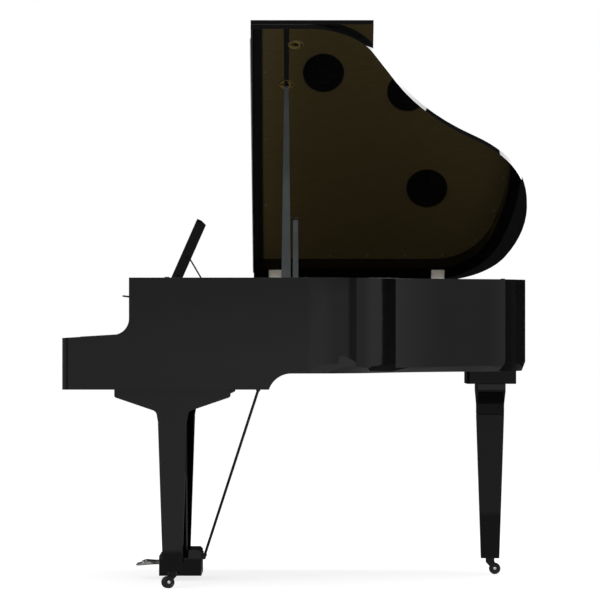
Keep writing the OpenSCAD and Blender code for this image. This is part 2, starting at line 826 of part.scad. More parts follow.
module on_desk() translate([0, -desk_y, desk_z]) rotate([-desk_lean, 0, 0]) children();

// Front view of the desk board, with rounded upper corners
desk_corner = 14;
desk_foot = 10;
ledge_margin = 30;
ledge_z = 2;
ledge_lip_w = 4;
ledge_lip_h = 5;
module desk_outline() {
    polygon(concat(
        [[-desk_w / 2, -desk_foot], [desk_w / 2, -desk_foot]],
        arc([desk_w / 2 - desk_corner, desk_h - desk_corner], desk_corner, 0, 90, 8),
        arc([-desk_w / 2 + desk_corner, desk_h - desk_corner], desk_corner, 90, 180, 8)
    ));
}
module music_desk() color("#131314") on_desk() {
    translate([0, desk_t / 2, 0]) rotate([90, 0, 0]) linear_extrude(desk_t) desk_outline();
    // Ledge with a raised lip along its front
    ledge_front = -desk_t / 2 - ledge_d;
    along_x(-desk_w / 2 + ledge_margin, desk_w / 2 - ledge_margin) polygon([
        [-desk_t / 2 + 1, ledge_z], [ledge_front, ledge_z],
        [ledge_front, ledge_t + ledge_lip_h], [ledge_front + ledge_lip_w, ledge_t + ledge_lip_h],
        [ledge_front + ledge_lip_w, ledge_t], [-desk_t / 2 + 1, ledge_t]
    ]);
    for (side = [0, 1]) mirror([side, 0, 0]) {
        rod_x(desk_w / 2 - 1, desk_w / 2 + bearing_w - 1, 0, 0, desk_pin_r);
        // Eye of the strut
        difference() {
            union() {
                rod_x(strut_w / 2 - eye_w, strut_w / 2 - eye_in, eye_n, strut_s, eye_r);
                block(
                    [strut_w / 2 - eye_w, desk_t / 2 - 1, strut_s - eye_r],
                    [strut_w / 2 - eye_in, eye_n, strut_s + eye_r]
                );
            }
            rod_x(strut_w / 2 - eye_w - 1, strut_w / 2 - 2, eye_n, strut_s, strut_r + run);
        }
    }
}

// Bent wire: two legs, a foot bar, and ends turned inwards through the eyes
module desk_strut() color("#c8c8cc") translate([0, eye_at[0], eye_at[1]])
    rotate([180 + strut_angle, 0, 0]) {
        for (side = [0, 1]) mirror([side, 0, 0]) {
            translate([strut_w / 2, 0, 0]) {
                cylinder(r = strut_r, h = strut_len);
                sphere(r = strut_r);
                translate([0, 0, strut_len]) sphere(r = strut_r);
            }
            rod_x(strut_w / 2 - eye_w - 2, strut_w / 2, 0, 0, strut_r);
        }
        rod_x(-strut_w / 2, strut_w / 2, 0, strut_len, strut_r);
    }

// FALLBOARD AND FRONT
fall_z = key_top + fall_lift;
fall_pin_r = 3.5;
lip_rise = 3;
fall_len = key_front - cheek_y + lip_gap + lip_t - lip_rise + 1;
pin_in = 14;
fall_side = 1.5;
fall_lug_in = 9;
fall_lug_r = fall_lift - block_rise - seat;
slip_reveal = 16;
// Open, the board stands behind the front edge of the cheeks and its lip points at the player
module fallboard() color("#111112") translate([0, -cheek_y, fall_z]) {
    fall_back = fall_gap + fall_t;
    along_x(-inner + fall_side, inner - fall_side) polygon([
        [fall_gap, 3], [fall_back, 3], [fall_back, fall_len - 2],
        [fall_back - 2, fall_len], [-lip_d + 1, fall_len + lip_rise],
        [-lip_d, fall_len + lip_rise - 1], [-lip_d, fall_len - lip_t + lip_rise],
        [fall_gap, fall_len - lip_t]
    ]);
    for (side = [0, 1]) mirror([side, 0, 0]) {
        along_x(inner - fall_lug_in, inner - fall_side) {
            circle(r = fall_lug_r);
            translate([0, -1]) square([fall_back, 6]);
        }
        rod_x(inner - fall_lug_in, inner + pin_in - 1, 0, 0, fall_pin_r);
    }
}

// Upright board behind the fallboard, with the name rail over the back of the keys
name_rail_t = 5.5;
rail_z = key_top + name_rail_t;
rail_y = -key_front + key_show + 2;
rail_end = 20;
front_board_t = 16;
felt_t = 3.5;
felt_w = 11;
module front_board() color("#131314") {
    along_x(-inner + seat, inner - seat)
        translate([board_back + seat, rail_z]) square([front_board_t, shelf_z - rail_z]);
    along_x(-inner + rail_end, inner - rail_end)
        translate([rail_y, rail_z]) square([board_back + seat + 1 - rail_y, name_rail_t]);
}

// Red felt under the name rail
module key_felt() color("#7a1a20")
    along_x(-keys_half, keys_half) translate([rail_y + 1, rail_z - felt_t]) square([felt_w, felt_t]);

slip_back = -key_front - slip_gap;
slip_top = key_top - slip_drop;
slip_r = 5;
module key_slip() color("#121213") along_x(-inner + seat, inner - seat) polygon(concat(
    [[slip_back, keybed_top], [slip_back, slip_top - 2], [slip_back - 2, slip_top]],
    arc([slip_back - slip_t + slip_r, slip_top - slip_r], slip_r, 90, 180, 4),
    [[slip_back - slip_t, keybed_top]]
));

// Blocks between the keys and the arms. The bass one carries the controls.
block_top = key_top + block_rise;
block_in = keys_half + 1;
block_mid = (block_in + inner) / 2;
control_in = 36;
display_in = 100;
dial_y = -key_front + control_in;
display_y = -key_front + display_in;
power_y = -key_front + control_in;
pocket = 8;
module key_blocks() color("#141415") difference() {
    for (side = [0, 1]) mirror([side, 0, 0])
        block([block_in, -key_front, keybed_top], [inner - seat, rail_y - seat, block_top]);
    translate([-block_mid, dial_y, block_top - pocket]) cylinder(d = dial_d + 2 * seat, h = pocket + 1);
    translate([block_mid, power_y, block_top - pocket]) cylinder(d = power_d + 2 * seat, h = pocket + 1);
}
// Dial with a finger dimple and a grip of fine flutes
dimple_d = 6;
flute_count = 24;
flute_r = 1;
module volume_dial() color("#3a3a3c") translate([-block_mid, dial_y, block_top - pocket + seat])
    difference() {
        cylinder(d = dial_d, h = pocket + control_rise - seat);
        translate([0, dial_d / 2 - dimple_d, pocket + control_rise - seat - 1]) cylinder(d = dimple_d, h = 2);
        for (k = [1:flute_count]) rotate([0, 0, k * 360 / flute_count])
            translate([dial_d / 2 + 0.4, 0, pocket]) cylinder(r = flute_r, h = control_rise + 1, $fn = 16);
    }
module power_button() color("#8c8c90")
    translate([block_mid, power_y, block_top - pocket + power_travel + seat])
        cylinder(d = power_d, h = pocket + control_rise - power_travel - 2 * seat);

// Small screen in a flat frame
display_size = [68, 44];
display_t = 2;
bezel = 5;
module display() color("#20242a") translate([-block_mid, display_y, block_top]) {
    linear_extrude(display_t) difference() {
        square(display_size, center = true);
        square(display_size - 2 * [bezel, bezel], center = true);
    }
    linear_extrude(display_t - 0.5) square(display_size - [2, 2], center = true);
}

// KEYS
// A note's place in the octave, from 0 for C to 6 for B. The lowest natural is an A.
function note(i) = (i + 5) % 7;
// Sharps follow C, D, F, G and A, and are set off from the joint of the naturals
sharp_set = 3;
wide_sharp_set = 4;
sharp_shift = [-sharp_set, sharp_set, undef, -wide_sharp_set, 0, wide_sharp_set, undef];
function has_sharp(i) = i >= 0 && i < key_count - 1 && !is_undef(sharp_shift[note(i)]);
function sharp_x(i) = -keys_half + (i + 1) * key_pitch + sharp_shift[note(i)];
key_z = key_top - key_h;
key_pivot_y = -key_front + key_arm;
key_back = key_pivot_y + key_tail;
sharp_front = -key_front + key_show - sharp_len;

module natural(i) {
    x = -keys_half + i * key_pitch;
    translate([0, 0, key_z]) linear_extrude(key_h) difference() {
        translate([x + key_gap / 2, -key_front]) square([key_pitch - key_gap, key_back + key_front]);
        for (k = [i - 1, i]) if (has_sharp(k))
            translate([sharp_x(k) - sharp_w / 2 - key_gap, sharp_front - key_gap])
                square([sharp_w + 2 * key_gap, key_back - sharp_front + 5]);
    }
}
module sharp(i) along_x(sharp_x(i) - sharp_w / 2, sharp_x(i) + sharp_w / 2) polygon([
    [sharp_front, key_z], [sharp_front, key_top - 4], [sharp_front + 5, key_top + sharp_rise - 2],
    [sharp_front + 8, key_top + sharp_rise], [-key_front + key_show, key_top + sharp_rise],
    [-key_front + key_show, key_top - 1], [key_back, key_top - 1], [key_back, key_z]
]);
function members(group) = [for (i = [group * group_size:(group + 1) * group_size - 1]) i];
module naturals(group) color("#f4f1e8") for (i = members(group)) natural(i);
module sharps(group) color("#161616") for (i = members(group)) if (has_sharp(i)) sharp(i);

// Frame under the keys: stop rail, switch rail, rocking rail, and cross bars
stop_y = -key_front + 12;
stop_w = 24;
switch_w = 30;
rock_w = 16;
cross_w = 40;
cross_h = 14;
dip_angle = asin(key_dip / key_arm);
// The keys rock on a round rod on top of their rail
rock_r = 5;
rock_z = key_z - seat - rock_r;
stop_top = key_z - (key_pivot_y - stop_y) * sin(dip_angle) - 2 * seat;
module key_frame() color("#a98855") {
    along_x(-keys_half, keys_half) {
        translate([stop_y, keybed_top]) square([stop_w, stop_top - keybed_top]);
        translate([(stop_y + key_pivot_y) / 2, keybed_top]) square([switch_w, stop_top - keybed_top]);
        translate([key_pivot_y - rock_w / 2, keybed_top]) square([rock_w, rock_z - 1 - keybed_top]);
        translate([key_pivot_y - rock_r, rock_z - 2]) square([2 * rock_r, 2]);
        translate([key_pivot_y, rock_z]) circle(r = rock_r);
    }
    for (k = [-2:2]) translate([k * (keys_half - cross_w) / 2 - cross_w / 2, stop_y + 1, keybed_top])
        cube([cross_w, key_pivot_y - stop_y, cross_h]);
}

// ELECTRONICS
// Circuit board on four posts, with its chips, sockets and capacitors
circuit_y = 430;
board_x = 340;
board_size = [260, 140];
board_lift = 8;
board_t = 2;
board_margin = 12;
chips = [[40, 40], [110, 84], [178, 36]];
chip = [34, 34, 4];
capacitor_r = 6;
capacitor_h = 14;
capacitor_pitch = 22;
plug = [36, 9, 10];
plug_pitch = 50;
module main_board() translate([-board_x, -circuit_y, keybed_top]) {
    for (x = [board_margin, board_size[0] - board_margin], y = [board_margin, board_size[1] - board_margin])
        translate([x, y, 0]) cylinder(r = 4, h = board_lift + 0.5);
    translate([0, 0, board_lift]) {
        linear_extrude(board_t) square(board_size);
        for (p = chips) translate([each p, board_t - 0.5]) cube(chip);
        for (k = [1:6]) translate([k * capacitor_pitch, board_size[1] - 3 * capacitor_r, board_t - 0.5])
            cylinder(r = capacitor_r, h = capacitor_h);
        for (k = [1:3]) translate([k * plug_pitch, 4, board_t - 0.5]) cube(plug);
    }
}
// Power supply in its folded case, with cooling slots
supply_x = 180;
supply = [190, 110, 46];
slot_pitch = 15;
module power_supply() translate([supply_x, -circuit_y, keybed_top]) difference() {
    cube(supply);
    for (k = [2:11]) translate([k * slot_pitch, 20, supply[2] - 4]) cube([slot_pitch / 3, 70, 5]);
}

module electronics() color("#1f5b3a") {
    main_board();
    power_supply();
}

// Headphone box under the bass end of the keybed. Its sockets face the player.
jack_x = 560;
jack_y = 560;
jack_w = 92;
jack_d = 90;
jack_h = 27;
jack_r = 3.25;
jack_len = 16;
jack_pitch = 40;
collar_r = 7;
collar_l = 2;
module jack_box() color("#17171a") translate([-jack_x, -jack_y, case_bottom - jack_h]) {
    places = [for (side = [-1, 1]) jack_w / 2 + side * jack_pitch / 2];
    difference() {
        union() {
            cube([jack_w, jack_d, jack_h]);
            for (x = places) rod_y(x, -collar_l, 1, jack_h / 2, collar_r);
        }
        for (x = places) rod_y(x, -collar_l - 1, jack_len - collar_l, jack_h / 2, jack_r);
    }
}
// Mains inlet with three flat pins in a hollow that faces the tail
inlet_x = 500;
inlet_y = 330;
inlet = [56, 46, 34];
hollow = [32, 24, 22];
blade = [4, 14, 2];
blade_pitch = 8;
module mains_inlet() color("#101012") translate([-inlet_x, -inlet_y, case_bottom - inlet[2]]) {
    floor_y = inlet[1] - hollow[1];
    difference() {
        cube(inlet);
        translate([(inlet[0] - hollow[0]) / 2, floor_y, (inlet[2] - hollow[2]) / 2])
            cube(hollow + [0, 1, 0]);
    }
    for (p = [[-1, -0.6], [1, -0.6], [0, 0.4]])
        translate([inlet[0] / 2, floor_y - 1, inlet[2] / 2] + blade_pitch * [p[0], 0, p[1]]
            - [blade[0], 0, blade[2]] / 2) cube(blade);
}

// LEGS
leg_x = half - leg_inset - leg_w / 2;
tail_block_h = 44;
tail_leg_top = belly_z - tail_block_h;
tail_at = plan_k * [-tail_leg_x, tail_leg_y];
shoulder_slope = 18.8;
shoulder_edge_r = 8;
neck_r = 18;
// One half of the shoulder's front view, from the outer end to the neck
function shoulder_side() =
    let (
        a = shoulder_slope,
        c = [shoulder_w / 2 - shoulder_edge_r, -shoulder_h + shoulder_edge_r],
        x = neck_w / 2 + neck_r,
        z = c[1] + ((x - c[0]) * sin(a) - shoulder_edge_r - neck_r) / cos(a)
    )
    concat(
        [[shoulder_w / 2, 0]],
        arc(c, shoulder_edge_r, 0, a - 90, 6),
        arc([x, z], neck_r, 90 + a, 180, 6),
        [[leg_w / 2, -neck_h]]
    );
function flipped(points) = [for (k = [len(points) - 1:-1:0]) [-points[k][0], points[k][1]]];

// A leg below the origin of its place. The shoulder lies along y.
seam = 1.2;
module leg(height) {
    shaft = height - neck_h - seam;
    along_x(-leg_w / 2, leg_w / 2) polygon(concat(shoulder_side(), flipped(shoulder_side())));
    difference() {
        translate([0, 0, -neck_h - seam]) intersection() {
            rotate([90, 0, 0]) translate([0, 0, -leg_w]) linear_extrude(2 * leg_w) taper(shaft);
            rotate([90, 0, 90]) translate([0, 0, -leg_w]) linear_extrude(2 * leg_w) taper(shaft);
        }
        translate([0, 0, -height - 1]) cylinder(r = stem_r + run, h = stem_in + 2);
    }
    translate([0, 0, -neck_h - seam - 1]) linear_extrude(seam + 2) square(leg_w - 3, center = true);
}
module taper(shaft) polygon([
    [-leg_w / 2, 0], [leg_w / 2, 0], [foot_w / 2, -shaft], [-foot_w / 2, -shaft]
]);
stem_in = 26;
module leg_treble() color("#131315") translate([leg_x, -leg_y, case_bottom])
    leg(case_bottom - foot_z);
module leg_bass() color("#131315") translate([-leg_x, -leg_y, case_bottom])
    leg(case_bottom - foot_z);
module leg_tail() color("#131315") translate([each tail_at, tail_leg_top])
    rotate([0, 0, 90]) leg(tail_leg_top - foot_z);
// Block that brings the tail leg down from the bottom board. Its upper part fits inside the rim.
module tail_block() color("#111113") {
    block(
        [each tail_at - [tail_block_l, tail_block_w] / 2, tail_leg_top],
        [each tail_at + [tail_block_l, tail_block_w] / 2, belly_z]
    );
    translate([0, 0, belly_z - 1]) linear_extrude(bottom_z - belly_z + 1) intersection() {
        plan(rim_wall + seat, 0);
        translate(tail_at) square([tail_block_l, tail_block_w], center = true);
    }
}

// CASTERS
// Each one is a swivelling fork with a stem, and a pair of wheels on one axle
caster_places = [[-leg_x, -leg_y, 250], [leg_x, -leg_y, 290], [each tail_at, 90]];
module at_caster(n) translate([caster_places[n][0], caster_places[n][1], 0])
    rotate([0, 0, caster_places[n][2]]) children();
web_t = 6;
cap_t = 5;
fork_cap_r = 15;
hub_r = 8;
module caster_fork(n) color("#b5b5b8") at_caster(n) difference() {
    union() {
        translate([0, 0, foot_z - cap_t - 1]) cylinder(r = stem_r, h = stem_in + cap_t + 1 - seat);
        translate([0, 0, foot_z - cap_t - seat]) cylinder(r = fork_cap_r, h = cap_t);
        rotate([90, 0, 0]) translate([0, 0, -web_t / 2]) linear_extrude(web_t) {
            translate([trail, wheel_d / 2]) circle(r = hub_r);
            polygon([
                [-9, foot_z - 2], [12, foot_z - 2], [trail + hub_r, wheel_d / 2],
                [trail - 4, wheel_d / 2 - 7], [-6, foot_z - 14]
            ]);
        }
    }
    rod_y(trail, -web_t, web_t, wheel_d / 2, axle_r + run);
}
tread_w = 5;
module caster_wheel(n) color("#161617") at_caster(n) translate([trail, 0, wheel_d / 2])
    rotate([90, 0, 0]) {
        wheel_r = wheel_d / 2;
        cylinder(r = axle_r, h = web_t + 2 * wheel_w, center = true);
        for (side = [0, 1]) mirror([0, 0, side]) translate([0, 0, web_t / 2 + seat]) rotate_extrude()
            polygon([
                [0, 0], [wheel_r - 2, 0], [wheel_r, 2], [wheel_r, wheel_w - 2],
                [wheel_r - 2, wheel_w], [wheel_r - tread_w, wheel_w], [wheel_r - tread_w - 2, wheel_w - 2],
                [hub_r - 1, wheel_w - 2], [hub_r - 2, wheel_w], [0, wheel_w]
            ]);
    }

// LYRE
box_top = box_z + box_h;
box_front = -box_back - box_d;
pedal_pivot_in = 50;
pedal_pivot_y = -box_back - pedal_pivot_in;
pedals = [-1, 0, 1];
pedal_pin_r = 3;
module box_shell() difference() {
    // Side view of the box, with its sloping front edge and chamfered back
    along_x(-box_w / 2, box_w / 2) polygon([
        [box_front, box_z], [-box_back, box_z], [-box_back, box_top - 8], [-box_back - 8, box_top],
        [box_front + 26, box_top], [box_front, box_top - 20]
    ]);
    block(
        [-box_w / 2 + box_wall, box_front + box_wall, box_z + box_wall],
        [box_w / 2 - box_wall, -box_back - box_wall, box_top - box_wall - 12]
    );
    for (k = pedals) translate([k * pedal_pitch - slot_w / 2, box_front - 1, slot_z])
        cube([slot_w, box_wall + 2, pedal_z + pedal_t / 2 + 2 - slot_z]);
}
slot_w = shank_w + 4;
pedal_reach = pedal_out + pedal_pivot_y - box_front;
pedal_angle = asin(pedal_dip / pedal_reach);
slot_z = pedal_z - pedal_t / 2 - (pedal_pivot_y - box_front) * tan(pedal_angle) - 3;
// A pedal: broad round tip that bends down, waisted shank, and an eye round its pin
pedal_waist = 58;
pedal_bend = 60;
crown_r = 24;
pedal_eye_r = 7;
module pedal(n) color("#d9d2bd") difference() {
    top = pedal_z + pedal_t / 2;
    low = pedal_z - pedal_t / 2;
    translate([n * pedal_pitch, 0, 0]) intersection() {
        linear_extrude(box_top) {
            tip = pedal_w / 2;
            shank = shank_w / 2;
            y = box_front - pedal_out + tip;
            polygon(concat(
                arc([0, y], tip, 180, 360, 16),
                [[tip, y + 12], [shank, y + pedal_waist], [shank, pedal_pivot_y + 10],
                [-shank, pedal_pivot_y + 10], [-shank, y + pedal_waist], [-tip, y + 12]]
            ));
        }
        along_x(-pedal_w, pedal_w) {
            y = box_front - pedal_out;
            polygon(concat(
                [[pedal_pivot_y + 8, top], [y + pedal_bend, top]],
                arc([y + 34, top - 22], crown_r, 80, 140, 6),
                [[y - 2, low - 2], [y + 6, low - 4], [y + pedal_bend, low], [pedal_pivot_y + 8, low]]
            ));
            translate([pedal_pivot_y, pedal_z]) circle(r = pedal_eye_r);
        }
    }
    rod_x(n * pedal_pitch - pedal_w, n * pedal_pitch + pedal_w, pedal_pivot_y, pedal_z, pedal_pin_r + run);
}
// Rod that the pedals turn on, held in four stands inside the box
stand_w = 8;
stand_d = 12;
module pedal_rod() {
    floor_z = box_z + box_wall;
    rod_x(-box_w / 2 + box_wall - 1, box_w / 2 - box_wall + 1, pedal_pivot_y, pedal_z, pedal_pin_r);
    for (k = [-1.5:1.5])
        translate([k * pedal_pitch - stand_w / 2, pedal_pivot_y - stand_d / 2, floor_z - 1])
            cube([stand_w, stand_d, pedal_z - floor_z + 1]);
}

module lyre_box() color("#141416") {
    box_shell();
    pedal_rod();
}

// Two tapered posts with drawn-in sides, between the box and the plate under the keybed
post_setback = 74;
post_y = -box_back - post_setback;
post_low_d = 48;
post_top_d = 40;
post_waist_z = 380;
post_waist = 4;
plate_margin = 60;
plate_d = 110;
module lyre_posts() color("#131315") {
    plate_z = case_bottom - lyre_plate_t;
    for (side = [0, 1]) mirror([side, 0, 0]) translate([post_pitch / 2, post_y, 0])
        intersection() {
            along_x(-post_w, post_w) polygon([
                [-post_low_d / 2, box_top], [post_low_d / 2, box_top],
                [post_top_d / 2, plate_z + 1], [-post_top_d / 2, plate_z + 1]
            ]);
            rotate([90, 0, 0]) translate([0, 0, -post_low_d]) linear_extrude(2 * post_low_d) polygon([
                [-post_w / 2, box_top], [post_w / 2, box_top],
                [post_w / 2 - post_waist, post_waist_z], [post_w / 2, plate_z + 1],
                [-post_w / 2, plate_z + 1], [-post_w / 2 + post_waist, post_waist_z]
            ]);
        }
    translate([0, post_y, plate_z]) linear_extrude(lyre_plate_t)
        square([post_pitch + 2 * plate_margin, plate_d], center = true);
}

// Back stays from the box to the belly rail, with an eye and a foot at both ends
stay_eye_r = 7;
stay_plate_w = 18;
stay_plate_l = 28;
stay_plate_t = 3;
stay_z = 75;
stay_low = [-box_back + seat + stay_eye_r, stay_z];
stay_high = [-keybed_back - 10, case_bottom - stay_eye_r - 2];
module lyre_stays() color("#1d1d1f") for (side = [0, 1]) mirror([side, 0, 0]) {
    run_line = stay_high - stay_low;
    translate([stay_x, stay_low[0], stay_low[1]])
        rotate([-atan2(run_line[0], run_line[1]), 0, 0]) cylinder(d = stay_d, h = norm(run_line));
    for (p = [stay_low, stay_high])
        rod_x(stay_x - stay_eye_r, stay_x + stay_eye_r, p[0], p[1], stay_eye_r);
    translate([stay_x - stay_plate_w / 2, -box_back + seat, stay_z - stay_plate_l / 2])
        cube([stay_plate_w, stay_plate_t, stay_plate_l]);
    translate([stay_x - stay_plate_w / 2, stay_high[0] - stay_plate_l / 2, case_bottom - stay_plate_t])
        cube([stay_plate_w, stay_plate_l, stay_plate_t]);
}

rim();
inner_rim();
keybed();
belly_rail();
bottom_board();
cross_rail();
sound_panel();
speaker_grilles();
speaker_drivers();
panel_screws();
rim_hinges();
lid_hinges();
fold_knuckles();
main_lid();
front_lid();
prop_cups();
lid_buttons();
long_prop();
short_prop();
prop_bracket();
desk_shelf();
desk_bearings();
music_desk();
desk_strut();
fallboard();
front_board();
key_felt();
key_slip();
key_blocks();
volume_dial();
power_button();
display();
naturals(0);  // naturals_bass
naturals(1);  // naturals_tenor
naturals(2);  // naturals_middle
naturals(3);  // naturals_treble
sharps(0);  // sharps_bass
sharps(1);  // sharps_tenor
sharps(2);  // sharps_middle
sharps(3);  // sharps_treble
key_frame();
electronics();
jack_box();
mains_inlet();
leg_bass();
leg_treble();
leg_tail();
tail_block();
caster_fork(0);  // caster_fork_bass
caster_fork(1);  // caster_fork_treble
caster_fork(2);  // caster_fork_tail
caster_wheel(0);  // caster_wheel_bass
caster_wheel(1);  // caster_wheel_treble
caster_wheel(2);  // caster_wheel_tail
lyre_box();
pedal(-1);  // pedal_soft
pedal(0);  // pedal_middle
pedal(1);  // pedal_sustain
lyre_posts();
lyre_stays();
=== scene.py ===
"""Looks of the grand piano: rounded lacquered pieces, their finishes, the studio and the camera."""

import json
import math

import bmesh
import bpy
from bpy.props import FloatProperty, FloatVectorProperty, IntProperty, PointerProperty
from mathutils import Matrix, Vector


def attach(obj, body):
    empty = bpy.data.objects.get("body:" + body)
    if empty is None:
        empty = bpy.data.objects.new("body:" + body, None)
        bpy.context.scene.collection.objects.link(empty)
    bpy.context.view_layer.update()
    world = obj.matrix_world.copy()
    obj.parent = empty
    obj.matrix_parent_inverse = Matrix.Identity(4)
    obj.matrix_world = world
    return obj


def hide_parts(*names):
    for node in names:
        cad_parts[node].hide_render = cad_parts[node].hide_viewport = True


bl_info = {
    "name": "Grand Piano Finish",
    "version": (1, 0, 0),
    "blender": (4, 5, 0),
    "location": "View3D > Sidebar > Piano",
    "description": "Rounds and lacquers the pieces of a grand piano and sets up its studio",
    "category": "Object",
}

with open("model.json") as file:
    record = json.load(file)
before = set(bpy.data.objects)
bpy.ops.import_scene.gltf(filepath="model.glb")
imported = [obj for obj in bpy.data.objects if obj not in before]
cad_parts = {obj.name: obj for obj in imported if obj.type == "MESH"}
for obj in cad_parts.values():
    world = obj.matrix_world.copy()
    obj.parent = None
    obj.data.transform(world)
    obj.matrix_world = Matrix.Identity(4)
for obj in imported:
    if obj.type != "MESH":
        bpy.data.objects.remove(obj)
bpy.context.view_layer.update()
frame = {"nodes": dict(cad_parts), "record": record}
BODY_OF = {node: body for body, nodes in frame["record"]["behaviour"]["bodies"].items() for node in nodes}
SLOT_OF = {part["node"]: part["material_slot"] for part in frame["record"]["subparts"]}
REGISTERS = ("bass", "tenor", "middle", "treble")
CORNERS = ("bass", "treble", "tail")
PEDALS = ("soft", "middle", "sustain")
FINISHES = {}
SATIN_PIECES = ("tail_block", "music_desk")
DOWN = (0, 0, -1)

# Places in metres and turns in degrees, as the source of the model has them
PANEL_TOP = 0.926
SPEAKERS = ((0, 0.081), (-0.071, 0.373), (-0.434, 0.443))

# Stems of the casters and where they point; their axles' distance behind the stem, and height
CASTERS = {"bass": (-0.6645, -0.413, 250), "treble": (0.6645, -0.413, 290), "tail": (-0.30898, 0.64996, 90)}
AXLE = (0.016, 0.0195)

# The closed lid: middles of its hinges, their axis, its underside, and the leaves' faces on the lid and on the rim
HINGES = (-0.086, 0.482)
LID_AXIS = Vector((-0.7485, 0, 1.0075))
LID_UNDERSIDE = 1.009
LID_LEAF = 1.0078
RIM_LEAF = 1.0072

# The props: their y, their pin's x and z, how far they lean, the x of their cups, and their bracket's face
PROPS = {"long": -0.045, "short": -0.0144}
PROP_PIN = (0.68, 0.965)
PROP_LEAN = 32.0765
CUPS = {"long": 0.43942, "short": 0.66641}
BRACKET_FACE = 0.702

# Takes places on the closed lid to where they are while it stands on its prop
LID_OPEN = 32.7
LID = (Matrix.Translation(LID_AXIS) @ Matrix.Rotation(math.radians(-LID_OPEN), 4, "Y")
       @ Matrix.Translation(-LID_AXIS))

# How edges are rounded and shaded, and what counts as one face, one vertex or a corner
SMOOTH_UNDER = math.radians(50)
FLAT_UNDER = math.radians(0.6)
CORNER_OVER = 1.0
WELD = 0.00001
TAIL_BLOCK_CORNER = 0.018
PROP_EDGE = 0.002
FORK_EDGE = 0.0008
WHEEL_EDGE = 0.0006

# Screws: radius and height of their heads, and where they stand; the vertices of one panel screw lie close together
PANEL_SCREW = (0.0045, 0.0018)
SAME_SCREW = 0.02
GRILLE_SCREW = (0.0028, 0.0013)
GRILLE_SCREW_RING = 0.0665
GRILLE_RISE = 0.0023
LEAF_SCREW = (0.0034, 0.0005)
LID_LEAF_SCREWS = ((-0.7365, -0.716, -0.6945), 0.0145)
RIM_LEAF_SCREWS = ((-0.7365, -0.716), 0.0055)
CUP_SCREW = (0.003, 0.0012)
CUP_SCREW_OFFSET = 0.018
BRACKET_SCREW = (0.003, 0.0011)
BRACKET_SCREW_HEIGHTS = (0.947, 0.983)

# Outlines of turned parts: radius and height
GASKET = ((0.0595, 0), (0.0595, 0.0005), (0.0640, 0.0005), (0.0640, 0), (0.0595, 0))
CUP_PLATE = (
    (0.0084, 0), (0.0084, 0.0013), (0.0092, 0.0019), (0.0104, 0.0019), (0.0114, 0.0012), (0.0145, 0.0010),
    (0.0220, 0.0012), (0.0232, 0.0019), (0.0248, 0.0019), (0.026, 0.001), (0.026, 0), (0.0084, 0),
)
CUP_LINER = (
    (0, -0.0062), (0.0070, -0.0062), (0.0076, -0.0055), (0.0076, 0.0013), (0.0084, 0.0013), (0.0084, 0),
    (0.0079, 0), (0.0079, -0.0068), (0, -0.0068),
)
PROP_TIPS = {
    "long": (
        (0, 0.80689), (0.0033, 0.80612), (0.0057, 0.8039), (0.00665, 0.8007), (0.00665, 0.7985),
        (0.0073, 0.7975), (0.0073, 0.7925), (0, 0.7925),
    ),
    "short": (
        (0, 0.2802), (0.0062, 0.2802), (0.0072, 0.2794), (0.0079, 0.277), (0.0079, 0.2625), (0.0072, 0.262),
        (0, 0.262),
    ),
}
CASTER_HOUSING = ((0, 0.0546), (0.0132, 0.0546), (0.015, 0.0532), (0.015, 0.0428), (0.0138, 0.0412), (0, 0.0412))
CASTER_CAP = ((0, 0.0022), (0.0025, 0.002), (0.0046, 0.0013), (0.0056, 0.0002), (0.0056, -0.0006), (0, -0.0006))
CASTER_CAP_SIDE = 0.0123

# The web between a caster's housing and its wheels: distance behind the stem and height, thickness, edge
WEB = (
    (-0.0146, 0.046), (-0.0146, 0.0405), (-0.0035, 0.0290), (0.004, 0.022), (0.012, 0.030), (0.012, 0.046),
)
WEB_THICKNESS = 0.0056
WEB_EDGE = 0.0005


# Sizes and colours

class PianoRounding(bpy.types.PropertyGroup):
    """Radii of the rounded edges"""

    case_edge: FloatProperty(
        name="Case edge", description="Radius of the lacquered edges of the case",
        default=0.0016, min=0.0004, max=0.004, unit="LENGTH")
    lid_edge: FloatProperty(
        name="Lid edge", description="Radius of the edges of the lid boards",
        default=0.0035, min=0.001, max=0.006, unit="LENGTH")
    leg_edge: FloatProperty(
        name="Leg edge", description="Radius of the edges of legs and lyre",
        default=0.002, min=0.0005, max=0.004, unit="LENGTH")
    key_edge: FloatProperty(
        name="Key edge", description="Radius of the edges of the keys",
        default=0.0007, min=0.0002, max=0.0012, unit="LENGTH")
    pedal_edge: FloatProperty(
        name="Pedal edge", description="Radius of the edges of the pedals",
        default=0.003, min=0.001, max=0.004, unit="LENGTH")
    facets: IntProperty(
        name="Edge facets", description="Facets across each rounded edge", default=3, min=1, max=6)


def colour(title, text, value):
    return FloatVectorProperty(name=title, description=text, subtype="COLOR", size=3, min=0, max=1, default=value)


class PianoColours(bpy.types.PropertyGroup):
    """Colours of the finishes"""

    lacquer: colour("Lacquer", "Black lacquer of case, lid and legs", (0.0018, 0.0018, 0.002))
    panel: colour("Panel", "Golden panel in the case", (0.62, 0.46, 0.17))
    brass: colour("Brass", "Hinges, cups and screws", (0.66, 0.56, 0.33))
    naturals: colour("Naturals", "White keys", (0.86, 0.84, 0.77))
    felt: colour("Felt", "Felt behind the keys", (0.30, 0.018, 0.025))
    wood: colour("Wood", "Bare wood inside the case", (0.46, 0.31, 0.16))


# Materials

